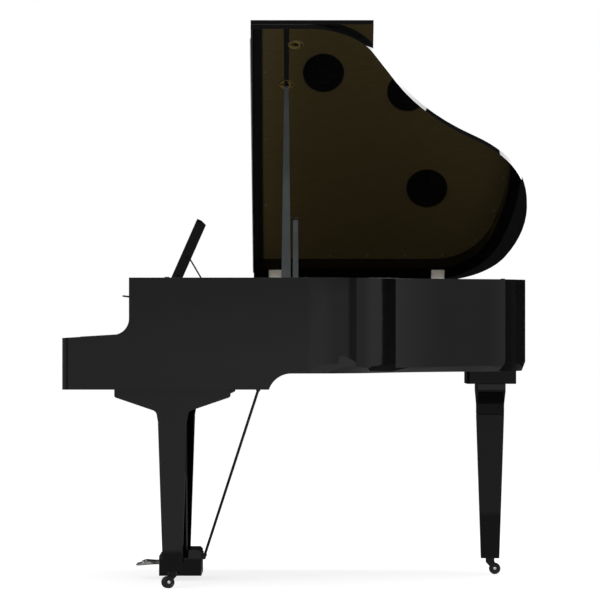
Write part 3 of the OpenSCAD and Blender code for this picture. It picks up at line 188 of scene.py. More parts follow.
class Wire:
    """The output of a shader node, used in sums like a number."""

    def __init__(self, finish, socket):
        self.finish = finish
        self.socket = socket

    def maths(self, operation, *values):
        return self.finish.node("ShaderNodeMath", dict(enumerate(values)), operation=operation)

    def __add__(self, other):
        return self.maths("ADD", self, other)

    def __radd__(self, other):
        return self.maths("ADD", other, self)

    def __sub__(self, other):
        return self.maths("SUBTRACT", self, other)

    def __rsub__(self, other):
        return self.maths("SUBTRACT", other, self)

    def __mul__(self, other):
        return self.maths("MULTIPLY", self, other)

    def __rmul__(self, other):
        return self.maths("MULTIPLY", other, self)

    def __truediv__(self, other):
        return self.maths("DIVIDE", self, other)

    def __rtruediv__(self, other):
        return self.maths("DIVIDE", other, self)

    def __gt__(self, other):
        return self.maths("GREATER_THAN", self, other)

    def __lt__(self, other):
        return self.maths("LESS_THAN", self, other)

    def between(self, low, high, start=0.0, end=1.0):
        """Maps low..high to start..end, and stays inside it."""
        return self.finish.node(
            "ShaderNodeMapRange", {"Value": self, "From Min": low, "From Max": high, "To Min": start, "To Max": end})


class NodeTree:
    """Adds nodes to a tree and links them."""

    def __init__(self, tree):
        self.tree = tree
        tree.nodes.clear()

    def node(self, kind, inputs=None, output=0, stops=(), **settings):
        made = self.tree.nodes.new(kind)
        for name, value in settings.items():
            setattr(made, name, value)
        if stops:
            ramp = made.color_ramp.elements
            ramp.remove(ramp[1])
            for number, (place, level) in enumerate(stops):
                stop = ramp.new(place) if number else ramp[0]
                stop.position = place
                stop.color = (level, level, level, 1)
        for name, value in (inputs or {}).items():
            if isinstance(value, Wire):
                self.tree.links.new(value.socket, made.inputs[name])
            else:
                made.inputs[name].default_value = value
        return Wire(self, made.outputs[output]) if made.outputs else made


class Finish(NodeTree):
    """A material round one Principled shader, with its patterns on Object coordinates."""

    def __init__(self, name, colour, rough, **constants):
        self.material = bpy.data.materials.new(name + "_finish")
        self.material.use_nodes = True
        super().__init__(self.material.node_tree)
        constants = {key.replace("_", " ").title().replace("Ior", "IOR"): value for key, value in constants.items()}
        self.shader = self.node("ShaderNodeBsdfPrincipled", {
            "Base Color": (*colour, 1.0), "Roughness": rough, **constants})
        self.node("ShaderNodeOutputMaterial", {"Surface": self.shader})
        self.material.diffuse_color = (*colour, 1.0)

    def put(self, name, wire):
        self.tree.links.new(wire.socket, self.shader.socket.node.inputs[name])

    def place(self, stretch=(1, 1, 1)):
        """Object coordinates in metres, stretched."""
        coords = self.node("ShaderNodeTexCoord", output="Object")
        return self.node("ShaderNodeMapping", {"Vector": coords, "Scale": stretch})

    def noise(self, scale, detail, stretch=(1, 1, 1), rough=0.5, twist=0.0):
        """Noise round a half: how many waves a metre, octaves of detail, and how it is stretched."""
        return self.node("ShaderNodeTexNoise", {
            "Vector": self.place(stretch), "Scale": scale, "Detail": detail, "Roughness": rough,
            "Distortion": twist})

    def blend(self, share, first, second):
        """A colour between two."""
        ends = [end if isinstance(end, Wire) else (*end, 1.0) for end in (first, second)]
        return self.node(
            "ShaderNodeMix", {0: share, 6: ends[0], 7: ends[1]}, output=2, data_type="RGBA")

    def relief(self, height, depth, strength):
        """Bumps of a depth in metres."""
        bump = self.node("ShaderNodeBump", {"Height": height, "Distance": depth, "Strength": strength})
        self.put("Normal", bump)


def shade(colour, amount):
    """The colour made lighter or darker by a factor."""
    return tuple(min(1.0, part * amount) for part in colour)


def lacquer(name, colour, rough=0.012, gloss=0.5):
    """Polished lacquer: long soft waves of the polish, and hairlines that only roughen the gloss."""
    f = Finish(name, colour, rough, specular_ior_level=gloss)
    wipes = f.noise(scale=9, detail=4, stretch=(1, 1, 3), rough=0.6)
    hair = f.noise(scale=700, detail=2, stretch=(1, 0.04, 0.04))
    f.put("Roughness", rough + wipes.between(0.35, 0.75) * 0.01 + hair.between(0.6, 0.8) * 0.015)
    f.put("Base Color", f.blend(wipes.between(0.3, 0.8), shade(colour, 0.8), shade(colour, 1.3)))
    f.relief(f.noise(scale=26, detail=2), depth=0.00002, strength=0.5)
    return f.material


def board(name, colour, along=(1, 14, 14), rough=0.6, depth=0.0003):
    """Bare or stained wood: bands of growth, pores along the grain, and a soft mottle."""
    f = Finish(name, colour, rough)
    bands = f.noise(scale=9, detail=4, stretch=along, rough=0.6, twist=0.9)
    pores = f.noise(scale=90, detail=3, stretch=along, rough=0.7)
    mottle = f.noise(scale=3, detail=3)
    share = bands.between(0.35, 0.68) * 0.7 + pores.between(0.45, 0.75) * 0.3
    tint = f.blend(share, shade(colour, 1.18), shade(colour, 0.62))
    f.put("Base Color", f.blend(mottle.between(0.3, 0.8, 0, 0.35), tint, shade(colour, 0.8)))
    f.put("Roughness", rough - 0.12 + pores * 0.2)
    f.relief(pores * 0.6 + bands * 0.4, depth, strength=0.6)
    return f.material


def metal(name, colour, rough=0.2, brush=(60, 60, 2), tarnish=0.3, metallic=1.0):
    """Brushed or polished metal with a faint tarnish; a satin plating is less metallic."""
    f = Finish(name, colour, rough, metallic=metallic)
    lines = f.noise(scale=40, detail=3, stretch=brush)
    cloud = f.noise(scale=22, detail=4, rough=0.65)
    f.put("Base Color", f.blend(cloud.between(0.42, 0.75, 0, tarnish), colour, shade(colour, 0.6)))
    f.put("Roughness", rough - 0.05 + lines.between(0.3, 0.7) * 0.1 + cloud.between(0.4, 0.8) * 0.1)
    f.relief(lines, depth=0.00004, strength=0.5)
    return f.material


def plastic(name, colour, rough=0.45, grain=900, depth=0.00004, **constants):
    """Moulded plastic or powder coat with a fine grain."""
    f = Finish(name, colour, rough, **constants)
    speck = f.noise(scale=grain, detail=2)
    cloud = f.noise(scale=14, detail=3)
    f.put("Base Color", f.blend(cloud.between(0.3, 0.75), shade(colour, 0.88), shade(colour, 1.15)))
    f.put("Roughness", rough - 0.06 + cloud * 0.12)
    f.relief(speck, depth, strength=0.6)
    return f.material


def golden_panel(colour):
    """Satin golden lacquer over a straight fine grain that runs with the case."""
    f = Finish("golden_panel", colour, rough=0.34)
    grain = f.noise(scale=60, detail=4, stretch=(6, 0.35, 1), rough=0.6, twist=0.2)
    cloud = f.noise(scale=2.2, detail=3)
    tint = f.blend(grain.between(0.3, 0.7), shade(colour, 1.1), shade(colour, 0.82))
    f.put("Base Color", f.blend(cloud.between(0.3, 0.75, 0, 0.3), tint, shade(colour, 0.85)))
    f.put("Roughness", 0.3 + grain * 0.1)
    f.relief(grain, depth=0.0001, strength=0.4)
    return f.material


def felt(colour):
    """Pressed wool: fuzzy fibres and a mottled dye."""
    f = Finish("felt", colour, rough=0.95, sheen_weight=0.4, sheen_roughness=0.5)
    fibres = f.noise(scale=650, detail=5, stretch=(1, 2, 2), rough=0.75, twist=1.0)
    cloud = f.noise(scale=60, detail=3)
    f.put("Base Color", f.blend(fibres.between(0.3, 0.7), shade(colour, 0.7), shade(colour, 1.35)))
    f.put("Roughness", 0.85 + cloud * 0.15)
    f.relief(fibres, depth=0.0006, strength=0.8)
    return f.material


def natural_key(colour):
    """White keys: ivory-like streaks under a satin gloss."""
    f = Finish("natural_keys", colour, rough=0.2, coat_weight=0.4, coat_roughness=0.08)
    streak = f.noise(scale=300, detail=3, stretch=(1, 0.05, 1), rough=0.6)
    cloud = f.noise(scale=25, detail=3)
    tint = f.blend(streak.between(0.35, 0.7), colour, shade(colour, 0.95))
    f.put("Base Color", f.blend(cloud.between(0.35, 0.8, 0, 0.2), tint, shade(colour, 0.9)))
    f.put("Roughness", 0.16 + streak * 0.12)
    f.relief(streak, depth=0.00005, strength=0.5)
    return f.material


def sharp_key():
    """Black keys with the fine pores of ebony."""
    f = Finish("sharp_keys", (0.006, 0.006, 0.007), rough=0.3)
    pores = f.noise(scale=500, detail=3, stretch=(1, 0.06, 1), rough=0.7)
    f.put("Base Color", f.blend(pores.between(0.4, 0.75), (0.005, 0.005, 0.006), (0.016, 0.014, 0.013)))
    f.put("Roughness", 0.24 + pores * 0.16)
    f.relief(pores, depth=0.0001, strength=0.7)
    return f.material


def prop_finish():
    """Dark grey satin lacquer of the lid props."""
    f = Finish("prop_lacquer", (0.03, 0.034, 0.035), rough=0.22)
    cloud = f.noise(scale=18, detail=3, stretch=(1, 1, 0.2))
    f.put("Roughness", 0.18 + cloud * 0.1)
    f.put("Base Color", f.blend(cloud.between(0.3, 0.7), (0.027, 0.031, 0.032), (0.036, 0.040, 0.041)))
    f.relief(f.noise(scale=300, detail=2, stretch=(1, 1, 0.1)), depth=0.00003, strength=0.4)
    return f.material


def screen_glass():
    """Dark display with dim bars behind the glass."""
    f = Finish("screen", (0.01, 0.012, 0.016), rough=0.08)
    coords = f.place()
    across = f.node("ShaderNodeSeparateXYZ", {0: coords}, output="X")
    along = f.node("ShaderNodeSeparateXYZ", {0: coords}, output="Y")
    columns = across.maths("FRACT", across * 180)
    rows = along.maths("FRACT", along * 90)
    bars = (columns < 0.55) * (rows < 0.4)
    f.put("Base Color", f.blend(bars * 0.5, (0.01, 0.012, 0.016), (0.05, 0.10, 0.13)))
    f.put("Roughness", 0.07 + f.noise(scale=40, detail=2) * 0.05)
    return f.material


def circuit_board():
    """Green board with tracks, and black parts above its top."""
    board_top = 0.6862
    f = Finish("circuit", (0.02, 0.13, 0.05), rough=0.35)
    tracks = f.node("ShaderNodeTexVoronoi", {"Vector": f.place((1, 1, 0.2)), "Scale": 240.0},
                    distance="MANHATTAN", feature="F1")
    part = f.node("ShaderNodeSeparateXYZ", {0: f.place()}, output="Z") > board_top
    copper = f.blend(tracks.between(0.3, 0.5), (0.05, 0.22, 0.08), (0.015, 0.10, 0.04))
    f.put("Base Color", f.blend(part, copper, (0.03, 0.03, 0.033)))
    f.put("Roughness", 0.3 + tracks * 0.2)
    f.relief(tracks, depth=0.0002, strength=0.5)
    return f.material


def make_finishes(colours):
    """One material for each material slot of the record, and those of the pieces that only the scene has."""
    return {
        "polished_black": lacquer("polished_black", colours.lacquer),
        "satin_black": lacquer("satin_black", colours.lacquer, rough=0.06, gloss=0.24),
        "dark_board": board("dark_board", (0.03, 0.027, 0.024)),
        "plain_wood": board("plain_wood", colours.wood, along=(14, 1, 14)),
        "golden_panel": golden_panel(colours.panel),
        "grille_black": plastic("grille_black", (0.008, 0.008, 0.008), rough=0.5),
        "speaker_black": plastic("speaker_black", (0.015, 0.015, 0.016), rough=0.6),
        "brass": metal("brass", colours.brass, rough=0.24),
        "nickel": metal("nickel", (0.86, 0.85, 0.82), rough=0.34, brush=(60, 60, 4), tarnish=0.15, metallic=0.55),
        "bright_screw": metal(
            "bright_screw", (0.95, 0.91, 0.78), rough=0.3, brush=(60, 60, 60), tarnish=0.1, metallic=0.3),
        # Brass darkened to about a third of the brass colour, for the cup plates
        "dark_brass": metal("dark_brass", (0.22, 0.19, 0.13), rough=0.24),
        "pedal_metal": metal("pedal_metal", (0.88, 0.87, 0.84), rough=0.14, brush=(60, 2, 60), tarnish=0.15),
        "prop_lacquer": prop_finish(),
        "rubber": plastic("rubber", (0.005, 0.005, 0.005), rough=0.6, grain=500, depth=0.0001, specular_ior_level=0.2),
        "red_felt": felt(colours.felt),
        "natural_keys": natural_key(colours.naturals),
        "sharp_keys": sharp_key(),
        "caster_metal": plastic("caster_metal", (0.012, 0.012, 0.013), rough=0.25, grain=300, depth=0.00003),
        "caster_wheel": plastic("caster_wheel", (0.012, 0.012, 0.013), rough=0.4, grain=300, depth=0.0001),
        "steel_wire": metal("steel_wire", (0.06, 0.06, 0.062), rough=0.22),
        "black_fitting": plastic("black_fitting", (0.012, 0.012, 0.013), rough=0.4),
        "screen": screen_glass(),
        "circuit": circuit_board(),
        "black_box": plastic("black_box", (0.014, 0.014, 0.015), rough=0.5, grain=700, depth=0.00008),
        "black_steel": plastic("black_steel", (0.006, 0.006, 0.0065), rough=0.16, grain=200, depth=0.00002),
        "control_plastic": plastic("control_plastic", (0.02, 0.02, 0.021), rough=0.4),
        "button_metal": metal("button_metal", (0.55, 0.55, 0.57), rough=0.28, brush=(2, 60, 60)),
    }


def finish(name):
    """A finish by its name, made with the rest of them when the first one is asked for."""
    if not FINISHES:
        FINISHES.update(make_finishes(bpy.context.scene.piano_colours))
    return FINISHES[name]


def finish_of(node):
    """The finish of a node's slot, or the satin one of the lacquered pieces that don't shine."""
    return finish("satin_black" if node in SATIN_PIECES else SLOT_OF[node])


# Pieces

def mesh_of(name, bm):
    """A mesh with the shape drawn, which is freed."""
    mesh = bpy.data.meshes.new(name)
    bm.to_mesh(mesh)
    bm.free()
    return mesh


def add(name, data):
    """An object with its data, in the scene."""
    made = bpy.data.objects.new(name, data)
    bpy.context.scene.collection.objects.link(made)
    return made


def new_piece(name, bm, material, body):
    """A finished mesh at the origin, riding on its body."""
    mesh = mesh_of(name, bm)
    mesh.materials.append(material)
    mesh.shade_smooth()
    mesh.set_sharp_from_angle(angle=SMOOTH_UNDER)
    piece = add(name, mesh)
    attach(piece, body)
    return piece


def bevel(bm, edges, radius, facets):
    """Rounds edges by a radius."""
    bmesh.ops.bevel(
        bm, geom=edges, offset=radius, offset_type="OFFSET", segments=facets, profile=0.5, affect="EDGES",
        clamp_overlap=True, loop_slide=True, material=-1)


def rounded(node, radius, facets, sharp=30, upright=0):
    """A copy of a node with its sharp edges rounded, its upright ones by another radius, takes the node's place."""
    bm = bmesh.new()
    bm.from_mesh(frame["nodes"][node].data)
    bmesh.ops.remove_doubles(bm, verts=bm.verts, dist=WELD)
    bmesh.ops.dissolve_limit(bm, angle_limit=FLAT_UNDER, verts=bm.verts, edges=bm.edges, delimit=set())
    if upright:
        corners = [edge for edge in bm.edges if edge.calc_face_angle(0.0) > CORNER_OVER
                   and abs(edge.verts[0].co.z - edge.verts[1].co.z) > 0.9 * edge.calc_length()]
        bevel(bm, corners, upright, facets=10)
    edges = [edge for edge in bm.edges if len(edge.link_faces) == 2
             and edge.calc_face_angle(0.0) > math.radians(sharp)]
    bevel(bm, edges, radius, facets)
    bmesh.ops.recalc_face_normals(bm, faces=bm.faces)
    piece = new_piece(node + "_finished", bm, finish_of(node), BODY_OF[node])
    keep = piece.modifiers.new("Flat faces", "WEIGHTED_NORMAL")
    keep.weight = 80
    keep.keep_sharp = True
    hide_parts(node)


def paint(*nodes):
    """CAD meshes that keep their shape get their finish."""
    for node in nodes:
        mesh = frame["nodes"][node].data
        mesh.materials.clear()
        mesh.materials.append(finish_of(node))


def turned(profile, steps=28):
    """A shape turned round the upright axis, from its radii and heights."""
    bm = bmesh.new()
    points = [bm.verts.new((radius, 0, height)) for radius, height in profile]
    edges = [bm.edges.new(pair) for pair in zip(points, points[1:])]
    bmesh.ops.spin(
        bm, geom=points + edges, cent=(0, 0, 0), axis=(0, 0, 1), angle=math.tau, steps=steps, use_merge=True)
    bmesh.ops.remove_doubles(bm, verts=bm.verts, dist=WELD / 2)
    bmesh.ops.recalc_face_normals(bm, faces=bm.faces)
    return bm


def verts_of(parts):
    """The vertices among the parts that an operator made."""
    return [part for part in parts if isinstance(part, bmesh.types.BMVert)]


def screw_head(radius, height):
    """A domed screw head with a cross recess: a grid drawn into a disc, its cross pressed in."""
    cells, reach, fall, draft, recess = 7, 0.7, 0.7, 0.05, 0.5
    bm = bmesh.new()
    bmesh.ops.create_grid(bm, x_segments=cells, y_segments=cells, size=1)
    cross = []
    for face in bm.faces:
        near, far = sorted(abs(part) for part in face.calc_center_median().xy)
        if near < 1 / cells and far < reach:
            cross.append(face)
    for vert in bm.verts:
        x, y = vert.co.x, vert.co.y
        vert.co.x = radius * x * math.sqrt(1 - y * y / 2)
        vert.co.y = radius * y * math.sqrt(1 - x * x / 2)
        vert.co.z = height * (1 - fall * vert.co.xy.length_squared / radius ** 2)
    edge = [edge for edge in bm.edges if edge.is_boundary]
    skirt = bmesh.ops.extrude_edge_only(bm, edges=edge)["geom"]
    low = verts_of(skirt)
    for vert in low:
        vert.co.z = 0
    bmesh.ops.contextual_create(bm, geom=[part for part in skirt if isinstance(part, bmesh.types.BMEdge)
                                          and all(vert in low for vert in part.verts)])
    bmesh.ops.recalc_face_normals(bm, faces=bm.faces)
    bmesh.ops.inset_region(bm, faces=cross, thickness=radius * draft, depth=-height * recess, use_boundary=True)
    return bm


def standing(place, up=(0, 0, 1)):
    """Where a part stands whose axis points up from its place."""
    return Matrix.Translation(place) @ Vector(up).to_track_quat("Z", "Y").to_matrix().to_4x4()


def gather(*parts):
    """One mesh with a copy of each part at each of its places."""
    bm = bmesh.new()
    for part, places in parts:
        mesh = mesh_of("part", part)
        for place in places:
            first = len(bm.verts)
            bm.from_mesh(mesh)
            bm.verts.ensure_lookup_table()
            bmesh.ops.transform(bm, matrix=place, verts=bm.verts[first:])
        bpy.data.meshes.remove(mesh)
    return bm


class PieceOperator:
    """What the operators for the pieces share."""

    bl_options = {"REGISTER"}

    @property
    def sizes(self):
        return bpy.context.scene.piano_rounding


class PIANO_OT_case(PieceOperator, bpy.types.Operator):
    """Rounds and lacquers the rim, the front and the shelf"""

    bl_idname = "piano.case"
    bl_label = "Case"

    def execute(self, context):
        for node in ("rim", "front_board", "key_slip", "key_blocks", "desk_shelf"):
            rounded(node, self.sizes.case_edge, self.sizes.facets)
        rounded("tail_block", self.sizes.case_edge, self.sizes.facets, upright=TAIL_BLOCK_CORNER)
        return {"FINISHED"}


class PIANO_OT_inside(PieceOperator, bpy.types.Operator):
    """Finishes the boards, the golden panel and the speakers inside the case"""

    bl_idname = "piano.inside"
    bl_label = "Inside of the case"

    def execute(self, context):
        paint("inner_rim", "keybed", "belly_rail", "bottom_board", "cross_rail", "sound_panel",
              "speaker_grilles", "speaker_drivers", "key_frame", "electronics")
        self.screws()
        self.grille_parts()
        return {"FINISHED"}

    def screws(self):
        """Cross-head screws where the record's plain ones are."""
        places = {}
        for vert in frame["nodes"]["panel_screws"].data.vertices:
            near = next((at for at in places if (vert.co.xy - Vector(at)).length < SAME_SCREW), None)
            places.setdefault(near or tuple(vert.co.xy), []).append(vert.co)
        middles = [sum(corners, Vector()) / len(corners) for corners in places.values()]
        heads = [standing((at.x, at.y, PANEL_TOP)) for at in middles]
        piece = new_piece(
            "panel_screw_heads", gather((screw_head(*PANEL_SCREW), heads)), finish("bright_screw"), "case")
        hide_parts("panel_screws")

    def grille_parts(self):
        """Four screws on each grille, and a gasket round it."""
        quarters = [math.pi / 4 * step for step in (1, 3, 5, 7)]
        heads = [
            standing((x + GRILLE_SCREW_RING * math.cos(turn), y + GRILLE_SCREW_RING * math.sin(turn),
                      PANEL_TOP + GRILLE_RISE))
            for x, y in SPEAKERS for turn in quarters]
        new_piece("grille_screws", gather((screw_head(*GRILLE_SCREW), heads)), finish("black_fitting"),
                  "case")
        rings = [standing((x, y, PANEL_TOP)) for x, y in SPEAKERS]
        new_piece("grille_gaskets", gather((turned(GASKET, 64), rings)), finish("rubber"), "case")


class PIANO_OT_lid(PieceOperator, bpy.types.Operator):
    """Rounds and lacquers both lid boards and finishes their hinges"""

    bl_idname = "piano.lid"
    bl_label = "Lid"

    def execute(self, context):
        for node in ("main_lid", "front_lid"):
            rounded(node, self.sizes.lid_edge, self.sizes.facets)
        paint("rim_hinges", "lid_hinges", "fold_knuckles", "lid_buttons")
        on_lid = [LID @ standing((x, y, LID_LEAF), DOWN) for x, y in self.leaf_screws(*LID_LEAF_SCREWS)]
        new_piece("lid_hinge_screws", gather((screw_head(*LEAF_SCREW), on_lid)), finish("nickel"), "lid")
        on_rim = [standing((x, y, RIM_LEAF)) for x, y in self.leaf_screws(*RIM_LEAF_SCREWS)]
        new_piece("rim_hinge_screws", gather((screw_head(*LEAF_SCREW), on_rim)), finish("nickel"), "case")
        self.cups()
        return {"FINISHED"}

    def leaf_screws(self, columns, offset):
        """Places of the screws in both hinges' leaves, on either side of each hinge's middle."""
        return [(x, y + side * offset) for y in HINGES for side in (-1, 1) for x in columns]

    def cups(self):
        """Turned cup plates with a raised edge, two screws each, and the lined cups that take the props' tips."""
        middles = [(CUPS[prop], PROPS[prop]) for prop in PROPS]
        places = [LID @ standing((x, y, LID_UNDERSIDE), DOWN) for x, y in middles]
        screws = [LID @ standing((x, y + side * CUP_SCREW_OFFSET, LID_LEAF), DOWN)
                  for x, y in middles for side in (-1, 1)]
        piece = new_piece("cup_plates", gather((turned(CUP_PLATE, 40), places)), finish("dark_brass"), "lid")
        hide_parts("prop_cups")
        new_piece("cup_liners", gather((turned(CUP_LINER, 40), places), (screw_head(*CUP_SCREW), screws)),
                  finish("rubber"), "lid")


class PIANO_OT_props(PieceOperator, bpy.types.Operator):
    """Rounds the lid props, gives them rubber tips and finishes their bracket"""

    bl_idname = "piano.props"
    bl_label = "Lid props"

    def execute(self, context):
        for name in PROPS:
            rounded(name + "_prop", PROP_EDGE, self.sizes.facets)
        paint("prop_bracket")
        for name, y in PROPS.items():
            foot = (Matrix.Translation((PROP_PIN[0], y, PROP_PIN[1]))
                    @ Matrix.Rotation(math.radians(-PROP_LEAN), 4, "Y"))
            new_piece(name + "_prop_tip", gather((turned(PROP_TIPS[name]), [foot])), finish("rubber"),
                      "prop_" + name)
        screws = [standing((BRACKET_FACE, y, z), (-1, 0, 0)) for y in PROPS.values() for z in BRACKET_SCREW_HEIGHTS]
        new_piece("bracket_screws", gather((screw_head(*BRACKET_SCREW), screws)), finish("bright_screw"),
                  "case")
        return {"FINISHED"}


class PIANO_OT_desk(PieceOperator, bpy.types.Operator):
    """Rounds and lacquers the music desk and the fallboard"""

    bl_idname = "piano.desk"
    bl_label = "Desk and fallboard"

    def execute(self, context):
        for node in ("music_desk", "fallboard"):
            rounded(node, self.sizes.case_edge, self.sizes.facets)
        paint("desk_bearings", "desk_strut")
        return {"FINISHED"}


class PIANO_OT_keys(PieceOperator, bpy.types.Operator):
    """Rounds the keys and finishes the felt behind them"""

    bl_idname = "piano.keys"
    bl_label = "Keys"

    def execute(self, context):
        for register in REGISTERS:
            rounded("naturals_" + register, self.sizes.key_edge, facets=2)
            rounded("sharps_" + register, self.sizes.key_edge * 1.6, facets=2)
        paint("key_felt")
        return {"FINISHED"}


class PIANO_OT_controls(PieceOperator, bpy.types.Operator):
    """Finishes dial, button, display and the boxes under the keybed"""

    bl_idname = "piano.controls"
    bl_label = "Controls"

    def execute(self, context):
        paint("volume_dial", "power_button", "display", "jack_box", "mains_inlet")
        return {"FINISHED"}


class PIANO_OT_legs(PieceOperator, bpy.types.Operator):
    """Rounds and lacquers the legs and finishes their casters"""

    bl_idname = "piano.legs"
    bl_label = "Legs"

    def execute(self, context):
        for corner in CORNERS:
            rounded("leg_" + corner, self.sizes.leg_edge, self.sizes.facets)
            rounded("caster_fork_" + corner, FORK_EDGE, facets=2)
            rounded("caster_wheel_" + corner, WHEEL_EDGE, facets=2)
            self.caster(corner)
        return {"FINISHED"}

    def caster(self, corner):
        """The round housing of a caster over its fork, the web's wide shoulder, and the caps on its axle."""
        x, y, turn = CASTERS[corner]
        place = Matrix.Translation((x, y, 0)) @ Matrix.Rotation(math.radians(turn), 4, "Z")
        new_piece("caster_housing_" + corner, gather((turned(CASTER_HOUSING, 36), [place]), (self.web(), [place])),
                  finish("caster_metal"), "fork_" + corner)
        sides = [place @ standing((AXLE[0], side * CASTER_CAP_SIDE, AXLE[1]), (0, side, 0)) for side in (-1, 1)]
        new_piece("caster_caps_" + corner, gather((turned(CASTER_CAP), sides)), finish("nickel"),
                  "wheel_" + corner)

    def web(self):
        """The flat web of a caster, with its edges rounded."""
        bm = bmesh.new()
        face = bm.faces.new([bm.verts.new((along, -WEB_THICKNESS / 2, up)) for along, up in WEB])
        side = bmesh.ops.extrude_face_region(bm, geom=[face])["geom"]
        bmesh.ops.translate(bm, vec=(0, WEB_THICKNESS, 0), verts=verts_of(side))
        bevel(bm, bm.edges[:], WEB_EDGE, facets=2)
        bmesh.ops.recalc_face_normals(bm, faces=bm.faces)
        return bm


class PIANO_OT_lyre(PieceOperator, bpy.types.Operator):
    """Rounds and lacquers the lyre and polishes its pedals"""

    bl_idname = "piano.lyre"
    bl_label = "Lyre"

    def execute(self, context):
        for node in ("lyre_posts", "lyre_box"):
            rounded(node, self.sizes.leg_edge, self.sizes.facets)
        for pedal in PEDALS:
            rounded("pedal_" + pedal, self.sizes.pedal_edge, facets=4, sharp=50)
        paint("lyre_stays")
        return {"FINISHED"}


# Studio

def softbox(name, place, target, size, power):
    """A rectangular lamp that points at its target."""
    lamp = bpy.data.lights.new(name, "AREA")
    lamp.shape = "RECTANGLE"
    lamp.size, lamp.size_y = size
    lamp.energy = power
    box = add(name, lamp)
    box.location = place
    box.rotation_euler = (Vector(target) - Vector(place)).to_track_quat("-Z", "Y").to_euler()


# What the gloss shows all round: levels of the walls by azimuth from +X, and a window between two azimuths and two
# heights; what isn't seen or mirrored gets plain light
WALLS = (
    (-180, 0.01), (-150, 0.05), (-130, 0.3), (-60, 0.4), (-25, 0.12), (-8, 0.2), (-3, 0.40), (-1.5, 0.44),
    (-0.3, 0.455), (0.5, 0.50), (5, 0.53), (25, 0.52), (33, 0.48), (46, 0.41), (68, 0.39), (74, 0.165),
    (86, 0.165), (100, 0.03), (135, 0.025), (160, 0.01), (180, 0.01),
)
WINDOW = (122.8, 155, 0.085, 0.41)
WINDOW_LEVEL = 6.0
CEILING_LEVEL = 0.08
PLAIN_LIGHT = 0.8
FLOOR_DROP = 0.0005

# The photograph's camera: where it stands, and its focal length, raised middle and picture in pixels
CAMERA = (18.191, 0, 0.8689)
FOCAL_PIXELS = 5408
RAISED_PIXELS = 20
PHOTO_PIXELS = 600


